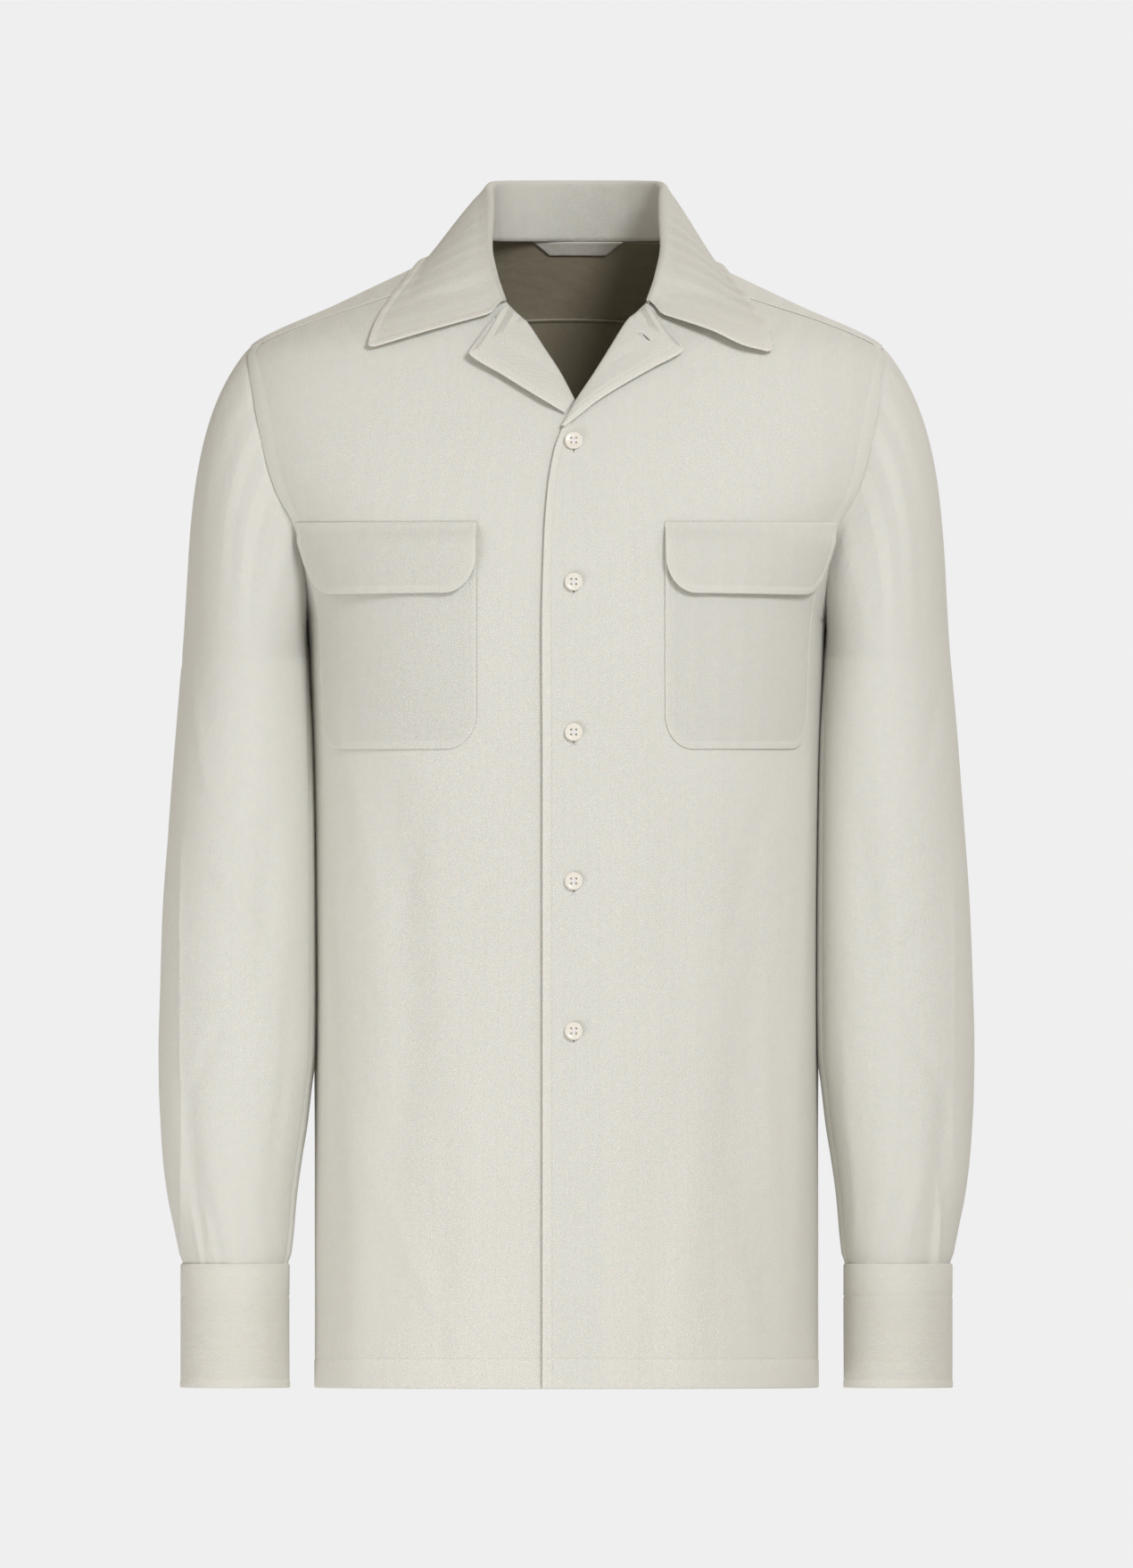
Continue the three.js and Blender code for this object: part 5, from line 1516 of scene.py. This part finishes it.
label = cloth(
    "neck_label_tape", np.linspace(0, 1, 41), np.linspace(0, 1, 13), label_place, label_cut,
    facing=-1, thickness=0.4, material=tape)
label.modifiers["thickness"].offset = 1
put_in(label, "neck_label", slot="label_tape")

# %% [markdown]
# Seams and edges are topstitched in matching thread. A stitch is about two millimetres of
# thread that dips into the cloth at both ends, so one small pointed bead can stand for it.
# The beads are copied along each sewn line into one joined mesh for each group of lines,
# each turned along the line and laid flat on the cloth.

# %% Thread and the stitch
def thread_material(name, colour, shade):
    material, tree, shader = new_material(name)
    place = add_node(tree, "ShaderNodeTexCoord").outputs["Object"]
    tone = mixed(tree, noise(tree, place, Scale=2600.0), colour, shade)
    tree.links.new(tone, shader.inputs["Base Color"])
    dialled(shader, {"Roughness": 0.55, "Sheen Weight": 0.2})
    return material


# The last of these is not thread but painted shade for the buttonhole slits.
ivory_thread, pale_thread, slit_shade = (thread_material(*values) for values in (
    ("ivory_thread", (0.82, 0.80, 0.73, 1), (0.68, 0.65, 0.57, 1)),
    ("pale_button_thread", (0.93, 0.92, 0.96, 1), (0.80, 0.78, 0.84, 1)),
    ("slit_shade", (0.16, 0.12, 0.09, 1), (0.08, 0.06, 0.04, 1)),
))


def bead(length, width, height):
    bm = bmesh.new()
    bmesh.ops.create_icosphere(bm, subdivisions=1, radius=0.5)
    bmesh.ops.scale(bm, vec=(length, width, height), verts=bm.verts)
    return mesh_of(bm, "bead")


def copy_into(bm, mesh, placed):
    """Adds a copy of a small mesh to a larger one, at a place."""
    mesh.transform(placed)
    bm.from_mesh(mesh)
    mesh.transform(placed.inverted())


stitch = bead(1.9 * MM, 0.42 * MM, 0.4 * MM)
STITCH_PITCH = 2.6
print("a stitch has", len(stitch.polygons), "faces, and one starts each", STITCH_PITCH, "mm")

# %% [markdown]
# To sew along a line, the piece's own places give the points of the line and the direction
# out of the cloth at each. A bead is put down at even distances and turned along the line.

# %% Sewing along a line
def on_surface(place, u, v, facing=1):
    """Points of a piece and the directions that point out of it."""
    step = 2e-3
    lowest = -1 if u.min() < 0 else 0
    across = place(np.minimum(1, u + step), v) - place(np.maximum(u - step, lowest), v)
    up = place(u, np.minimum(1, v + step)) - place(u, np.maximum(0, v - step))
    return place(u, v), unit(np.cross(across, up)) * facing


def sew_line(bm, place, u, v, facing=1, over=0.0):
    """Sews along places of a piece, over its surface by some mm, and counts the stitches."""
    points, normals = on_surface(place, u, v, facing)
    steps = np.linalg.norm(np.diff(points, axis=0), axis=1)
    lengths = np.concatenate([[0], np.cumsum(steps)])

    def read(values, at):
        return Vector([float(np.interp(at, lengths, values[:, k])) for k in range(3)])

    count = int(lengths[-1] / STITCH_PITCH)
    for number in range(count):
        start, end = ((number + share) * STITCH_PITCH for share in (0.15, 0.85))
        a, b = read(points, start), read(points, end)
        normal = read(normals, start).normalized()
        along = (b - a).normalized()
        side = normal.cross(along).normalized()
        middle = ((a + b) / 2 + normal * over) * MM
        turned = Matrix((along, side, along.cross(side))).transposed().to_4x4()
        copy_into(bm, stitch, Matrix.Translation(middle) @ turned)
    return count


def straight(fixed, low, high, count=240):
    return np.full(count, float(fixed)), np.linspace(low, high, count)


def joined(name, bm, material):
    """Makes one piece of all that was copied into a mesh."""
    piece = smooth_piece(name, mesh_of(bm, name), material)
    put_in(piece)
    print(name, len(piece.data.polygons), "faces")


# %% [markdown]
# The body has stitches along the placket, the hem, the armholes and side seams and the
# edges of the yoke.

# %% Topstitching of the body
bm = bmesh.new()
total = 0
for side, place in fronts.items():
    u, v = straight(PLACKET_STITCH / FRONT_WIDTH, 0.004, 0.905)
    total += sew_line(bm, place, u, v, side)
    v, u = straight(HEM_STITCH / FRONT_HEIGHT, 0.01, 0.99)
    total += sew_line(bm, place, u, v, side)
    u, v = straight(1 - SEAM_STITCH / FRONT_WIDTH, 0.75, 0.99)
    total += sew_line(bm, place, u, v, side)
v, u = straight(HEM_STITCH / BACK_HEIGHT, 0.01, 0.99, 400)
total += sew_line(bm, back_place, u, v, -1)
for inset in (SEAM_STITCH / BACK_WIDTH, 1 - SEAM_STITCH / BACK_WIDTH):
    u, v = straight(inset, 0.76, 0.99)
    total += sew_line(bm, back_place, u, v, -1)
for one in (-1, 1):
    u, v = straight(one - one * YOKE_STITCH / YOKE_TO_FRONT, 0.02, 0.98)
    total += sew_line(bm, yoke_place, u, v)
v, u = straight(1 - YOKE_STITCH / YOKE_BACK_WIDTH, -0.49, 0.49, 300)
total += sew_line(bm, yoke_place, u, v)
joined("stitching_body", bm, ivory_thread)
print("stitches on the body:", total)

# %% [markdown]
# Collar, lapels, pockets, flaps and cuffs have their own lines of stitches, which run round
# the rounded corners. On the pockets the line is found where the flat distance from the
# edge is the same all along.

# %% Topstitching of the trims
LAPEL_FACE = 0.9    # the face of a lapel lies this far over the places it is made from
bm = bmesh.new()
total = 0
collar_end = 1 - COLLAR_STITCH / COLLAR_HALF
edge_path = 1 - (1 - ARC_END) * COLLAR_STITCH / COLLAR_FALL
v, u = straight(edge_path, -collar_end, collar_end, 500)
total += sew_line(bm, collar_place, u, v)
for end in (-collar_end, collar_end):
    total += sew_line(bm, collar_place, *straight(end, ARC_END + 0.05, edge_path))
for side, place in lapels.items():
    parts = np.linspace(0.02, 0.93, 200)
    widths = np.maximum(lapel_outline(side, parts)[2], 1)
    v = np.clip(1 - LAPEL_STITCH / widths, 0.3, 1)
    total += sew_line(bm, place, parts, v, side, LAPEL_FACE)
for kind, side, place in patches:
    shape = PATCH_KINDS[kind]
    width, corner, length = shape["width"], shape["corner"], shape["top"] - shape["bottom"]
    inner = corner - PATCH_STITCH
    arc = np.radians(np.linspace(0, 90, 14))
    x = np.concatenate([np.full(60, PATCH_STITCH), corner - inner * np.cos(arc)])
    y = np.concatenate([np.linspace(length - 1, corner, 60), corner - inner * np.sin(arc)])
    x, y = np.concatenate([x, width - x[::-1]]), np.concatenate([y, y[::-1]])
    inset = corner_inset(y, corner)
    u, v = np.clip((x - inset) / (width - 2 * inset), 0, 1), y / length
    total += sew_line(bm, place, u, v, side)
    if kind == "pocket_flap":
        v, u = straight(1 - 4 / length, 0.01, 0.99, 120)
        total += sew_line(bm, place, u, v, side)
for side in (-1, 1):
    for up in (CUFF_EDGE_STITCH / CUFF_HEIGHT, 1 - CUFF_TOP_STITCH / CUFF_HEIGHT):
        v, u = straight(up, 0.01, 0.99, 300)
        total += sew_line(bm, cuff_place(side), u, v, -side)
    for across in (OPENING_STITCH / OPENING_WIDTH, 1 - OPENING_STITCH / OPENING_WIDTH):
        u, v = straight(across, 0.01, 0.98, 80)
        total += sew_line(bm, opening_place(side), u, v, -side)
joined("stitching_trims", bm, ivory_thread)
print("stitches on the trims:", total)

# %% [markdown]
# The buttons are turned from a pearly resin: a raised rim, a shallow dish and four holes,
# with a pale thread that crosses in them. Each one is spun from half a section, its holes
# are bored with a boolean, and it is then set on the cloth where the CAD button is.

# %% The button finish
def button_material():
    material, tree, shader = new_material("pearly_resin")
    place = add_node(tree, "ShaderNodeTexCoord").outputs["Object"]
    cloud = noise(tree, place, Scale=260.0, Detail=3.0, Distortion=1.2)
    tone = mixed(tree, cloud, (0.86, 0.84, 0.77, 1), (0.79, 0.76, 0.68, 1))
    tree.links.new(tone, shader.inputs["Base Color"])
    dialled(shader, {
        "Roughness": 0.28, "Coat Weight": 0.35, "Coat Roughness": 0.12, "Subsurface Weight": 0.0})
    return material


resin = button_material()
print("button finish:", resin.name)

# %% A bored button
BUTTON_SECTION = [
    (0, 0.25), (4.6, 0), (5.4, 0.35), (5.7, 1.0), (5.55, 1.8), (5.1, 2.15), (4.5, 2.15),
    (3.9, 1.85), (3.0, 1.75), (0, 1.7),
]
HOLE_OFFSET, HOLE_RADIUS = 1.5, 0.65


def button_mesh(name):
    bm = bmesh.new()
    corners = [bm.verts.new((x * MM, 0, z * MM)) for x, z in BUTTON_SECTION]
    edges = [bm.edges.new(pair) for pair in zip(corners, corners[1:])]
    bmesh.ops.spin(
        bm, geom=corners + edges, cent=(0, 0, 0), axis=(0, 0, 1), angle=2 * math.pi, steps=40,
        use_merge=True)
    bmesh.ops.remove_doubles(bm, verts=bm.verts, dist=1e-6)
    bmesh.ops.recalc_face_normals(bm, faces=bm.faces)
    return mesh_of(bm, name)


def hole_cutter():
    bm = bmesh.new()
    for x, y in ((1, 1), (-1, 1), (-1, -1), (1, -1)):
        made = bmesh.ops.create_cone(
            bm, cap_ends=True, segments=14, radius1=HOLE_RADIUS * MM, radius2=HOLE_RADIUS * MM,
            depth=6 * MM)
        middle = Vector((x * HOLE_OFFSET, y * HOLE_OFFSET, 1.2)) * MM
        bmesh.ops.translate(bm, vec=middle, verts=made["verts"])
    return mesh_of(bm, "holes")


def bored_button():
    button = add_object("button_blank", button_mesh("button_blank"))
    cutter = add_object("holes", hole_cutter())
    bore = button.modifiers.new("holes", "BOOLEAN")
    bore.operation, bore.object, bore.solver = "DIFFERENCE", cutter, "EXACT"
    seen = bpy.context.evaluated_depsgraph_get()
    mesh = bpy.data.meshes.new_from_object(button.evaluated_get(seen))
    for one in (button, cutter):
        bpy.data.objects.remove(one)
    mesh.materials.clear()
    mesh.materials.append(resin)
    return mesh


blank = bored_button()
print("button:", len(blank.polygons), "faces")

# %% [markdown]
# Each button goes to the middle of its CAD button and faces out of the cloth there. Two
# flattened beads of thread cross over its holes.

# %% Buttons and their thread
thread_bead = bead(5.0 * MM, 1.5 * MM, 0.8 * MM)
BUTTON_MIDDLE, THREAD_HEIGHT = 1.2 * MM, 1.75 * MM    # above the button's back
threads = bmesh.new()


def set_button(node, normal):
    mesh = blank.copy()
    mesh.name = node
    low, high = (Vector(corner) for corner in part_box(node))
    normal = Vector(normal).normalized()
    across = Vector((0, 0, 1)).cross(normal).normalized()
    turned = Matrix((across, normal.cross(across), normal)).transposed().to_4x4()
    placed = Matrix.Translation((low + high) / 2 - normal * BUTTON_MIDDLE) @ turned
    mesh.transform(placed)
    piece = smooth_piece(node + "_turned", mesh)
    put_in(piece, node, slot="pearl_button")
    smooth = piece.modifiers.new("soft edges", "BEVEL")
    smooth.width, smooth.segments, smooth.limit_method = 0.12 * MM, 1, "ANGLE"
    over = placed @ Matrix.Translation((0, 0, THREAD_HEIGHT))
    for slope in (45, -45):
        copy_into(threads, thread_bead, over @ Matrix.Rotation(math.radians(slope), 4, "Z"))


FRONT_BUTTON_HEIGHTS = [-109.8, -197.1, -291.2, -384.7, -478.8]
FRONT_BUTTON_X = 4.5
for number, z in enumerate(FRONT_BUTTON_HEIGHTS, start=1):
    turn = turn_at_x(FRONT_BUTTON_X, z)
    set_button(f"button_front_{number}", body_normal(turn, np.float64(z)))
cuff_turn = math.radians(CUFF_START + CUFF_WRAP - 8)
for name, side in (("right", -1), ("left", 1)):
    normal = (side * math.cos(cuff_turn) / 34, -math.sin(cuff_turn) / 43, 0)
    set_button(f"button_cuff_{name}", normal)
joined("button_threads", threads, pale_thread)

# %% [markdown]
# A buttonhole is a slit with a close row of stitches along both sides and a bar at each
# end. The slit itself is a dark bead, painted shade where the cloth opens. Below each front
# button only its lower end shows, as a small dark keyhole. The one in the left lapel shows
# whole, and on the right lapel a dot of thread shows where a button is sewn on behind.

# %% The stitches of a buttonhole
satin = bead(1.3 * MM, 0.34 * MM, 0.4 * MM)
bar = bead(2.4 * MM, 0.6 * MM, 0.5 * MM)
SATIN_PITCH, SATIN_AWAY = 0.55, 0.85
holes, slits = bmesh.new(), bmesh.new()


def place_bead(bm, mesh, point, along, normal):
    normal, along = Vector(normal).normalized(), Vector(along)
    along = (along - normal * along.dot(normal)).normalized()
    turned = Matrix((along, normal.cross(along), normal)).transposed().to_4x4()
    copy_into(bm, mesh, Matrix.Translation(Vector(point) * MM) @ turned)


def buttonhole(point, along, normal, length):
    point = Vector(point)
    along, normal = Vector(along).normalized(), Vector(normal).normalized()
    across = normal.cross(along)
    # A dark bead of painted shade fills the slit.
    slit = bead((length - 1.5) * MM, 1.0 * MM, 0.35 * MM)
    place_bead(slits, slit, point + normal * 0.15, along, normal)
    bpy.data.meshes.remove(slit)
    for number in range(int(length / SATIN_PITCH)):
        middle = point + along * ((number + 0.5) * SATIN_PITCH - length / 2) + normal * 0.1
        for one in (-1, 1):
            place_bead(holes, satin, middle + across * one * SATIN_AWAY, across, normal)
    for one in (-1, 1):
        place_bead(holes, bar, point + along * one * length / 2 + normal * 0.12, across, normal)


print("a satin stitch each", SATIN_PITCH, "mm, a bar at each end")

# %% [markdown]
# The buttonholes of the front stand upright behind their buttons. Those on the lapels are
# found by searching the lapel's points for the one that shows at the wanted place.

# %% Buttonholes
for z in FRONT_BUTTON_HEIGHTS:
    low = z - 2.0
    turn = turn_at_x(FRONT_BUTTON_X, low)
    point = on_body(turn, np.float64(low), OVERLAP_LIFT)
    buttonhole(point, (0, 0, 1), body_normal(turn, np.float64(low)), 14)


def on_lapel(side, x, z):
    """The place on a lapel that lies at x and z, and the direction out of it."""
    part, width = np.meshgrid(*(np.linspace(0.02, 0.98, count) for count in (240, 120)))
    points, normals = on_surface(lapels[side], part.ravel(), width.ravel())
    nearest = np.hypot(points[:, 0] - x, points[:, 2] - z).argmin()
    out = normals[nearest] * -np.sign(normals[nearest][1])
    return points[nearest] + out * LAPEL_FACE, out


point, normal = on_lapel(1, 49.8, -44.2)
buttonhole(point, (5.6, 0, -6.7), normal, 9.5)
point, normal = on_lapel(-1, -40, -48)
for slope in (45, -45, 10):
    along = (math.cos(math.radians(slope)), 0, math.sin(math.radians(slope)))
    place_bead(holes, bar, point + normal * 0.2, along, normal)
joined("buttonhole_stitches", holes, pale_thread)
joined("buttonhole_slits", slits, slit_shade)

# %% [markdown]
# Every sheet of cloth is listed with the size it was cut to, in metres. The panels aren't
# rectangles, so the share of the rectangle that each one's cloth fills is printed.

SHEETS = table(
    "piece width length rests_on",
    ("front_right_cloth", 0.27, 0.72, "yoke_cloth"),
    ("front_left_cloth", 0.27, 0.72, "yoke_cloth"),
    ("back_cloth", 0.50, 0.70, "yoke_cloth"),
    ("yoke_cloth", 0.50, 0.21, "back_cloth"),
    ("collar_cloth", 0.50, 0.11, "yoke_cloth"),
    ("lapel_right_cloth", 0.115, 0.036, "front_right_cloth"),
    ("lapel_left_cloth", 0.12, 0.04, "front_left_cloth"),
    ("sleeve_right_cloth", 0.37, 0.60, "yoke_cloth"),
    ("sleeve_left_cloth", 0.37, 0.60, "yoke_cloth"),
    ("cuff_right_cloth", 0.255, 0.08, "sleeve_right_cloth"),
    ("cuff_left_cloth", 0.255, 0.08, "sleeve_left_cloth"),
    ("sleeve_opening_right_cloth", 0.024, 0.116, "sleeve_right_cloth"),
    ("sleeve_opening_left_cloth", 0.024, 0.116, "sleeve_left_cloth"),
    ("pocket_right_cloth", 0.132, 0.135, "front_right_cloth"),
    ("pocket_left_cloth", 0.132, 0.135, "front_left_cloth"),
    ("pocket_flap_right_cloth", 0.134, 0.046, "front_right_cloth"),
    ("pocket_flap_left_cloth", 0.134, 0.046, "front_left_cloth"),
    ("neck_label_tape", 0.058, 0.011, "yoke_cloth"),
)
for row in SHEETS:
    piece = bpy.data.objects[row["piece"]]
    flat = (row["width"], row["length"])
    share = cloth_area[row["piece"]] / (flat[0] * flat[1])
    print(row["piece"], "share of the rectangle", round(share, 2))

# %% [markdown]
# The photo was taken straight on, and nothing in it tapers, so the camera is far away with
# a long lens. It is level with the middle of the picture, and one pixel of the photo is
# 0.56 mm on the shirt.

# %% Camera
PIXEL = 0.56 * MM
IMAGE_HEIGHT, ORIGIN_ROW = 1757, 300    # the origin lies in the middle column of the picture
CAMERA_DISTANCE, FRONT_OF_ORIGIN = 50.0, 0.06
SENSOR = 36.0

camera_data = bpy.data.cameras.new("camera")
camera_data.sensor_width = SENSOR
camera_data.lens = SENSOR * CAMERA_DISTANCE / (IMAGE_HEIGHT * PIXEL)
camera = add_object("camera", camera_data)
middle_z = (ORIGIN_ROW - IMAGE_HEIGHT / 2) * PIXEL
camera.location = (0, -CAMERA_DISTANCE - FRONT_OF_ORIGIN, middle_z)
camera.rotation_euler = (math.radians(90), 0, 0)
bpy.context.scene.camera = camera
print("camera at", [round(c, 3) for c in camera.location], "lens", round(camera_data.lens), "mm")

# %% [markdown]
# The light is soft and comes from above in front, a little from the right. A weak light
# from below on the left keeps the shaded sides open, and one behind lights the back. The
# room around gives an even warm glow, and the camera sees it as plain pale grey.

# %% Lights and the room
AIM = Vector((0, 0, -0.35))


def soft_light(name, place, size, power, colour):
    data = bpy.data.lights.new(name, "AREA")
    data.shape, data.size, data.energy, data.color = "DISK", size, power, colour
    lamp = add_object(name, data)
    lamp.location = place
    lamp.rotation_euler = (AIM - Vector(place)).to_track_quat("-Z", "Y").to_euler()


soft_light("key_light", (1.3, -2.9, 1.4), 1.0, 62, (0.98, 0.978, 1.0))
soft_light("fill_light", (-1.1, -1.1, -1.1), 1.0, 9, (0.98, 0.978, 1.0))
soft_light("back_light", (0.4, 3.0, 1.4), 2.0, 30, (1.0, 0.99, 0.97))

world = bpy.data.worlds.new("soft room")
bpy.context.scene.world = world
world.use_nodes = True
tree = world.node_tree
tree.nodes.clear()
seen, around = (
    dialled(add_node(tree, "ShaderNodeBackground"), {"Color": colour, "Strength": strength})
    for colour, strength in (((0.863, 0.863, 0.863, 1), 1.0), ((1.0, 0.92, 0.81, 1), 0.45)))
path = add_node(tree, "ShaderNodeLightPath")
either = add_node(tree, "ShaderNodeMixShader")
output = add_node(tree, "ShaderNodeOutputWorld")
tree.links.new(path.outputs["Is Camera Ray"], either.inputs[0])
tree.links.new(around.outputs[0], either.inputs[1])
tree.links.new(seen.outputs[0], either.inputs[2])
tree.links.new(either.outputs[0], output.inputs[0])
bpy.context.scene.view_settings.view_transform = "Standard"
print("lights:", [lamp.name for lamp in bpy.data.lights])

# %% [markdown]
# The shirt hangs free, as in the photo, so the floor is well below it and out of the
# picture from the front. It is a plain pale disc.

# %% Floor
FLOOR_Z, FLOOR_RADIUS = -1.35, 5.0
bm = bmesh.new()
bmesh.ops.create_circle(bm, cap_ends=True, segments=96, radius=FLOOR_RADIUS)
bmesh.ops.translate(bm, vec=(0, 0, FLOOR_Z), verts=bm.verts)
floor = add_object("floor", mesh_of(bm, "floor"))
pale_floor, tree, shader = new_material("pale_floor")
speckle = dialled(add_node(tree, "ShaderNodeTexNoise"), {"Scale": 3.0})
tone = mixed(tree, speckle.outputs[0], (0.80, 0.80, 0.79, 1), (0.77, 0.77, 0.76, 1))
tree.links.new(tone, shader.inputs["Base Color"])
shader.inputs["Roughness"].default_value = 0.9
floor.data.materials.append(pale_floor)
print("the floor lies at", FLOOR_Z, "m")

# %% [markdown]
# The last cell removes the small meshes that were copied into the pieces.

# %% Tidying up
for mesh in (stitch, thread_bead, satin, bar, blank):
    bpy.data.meshes.remove(mesh)
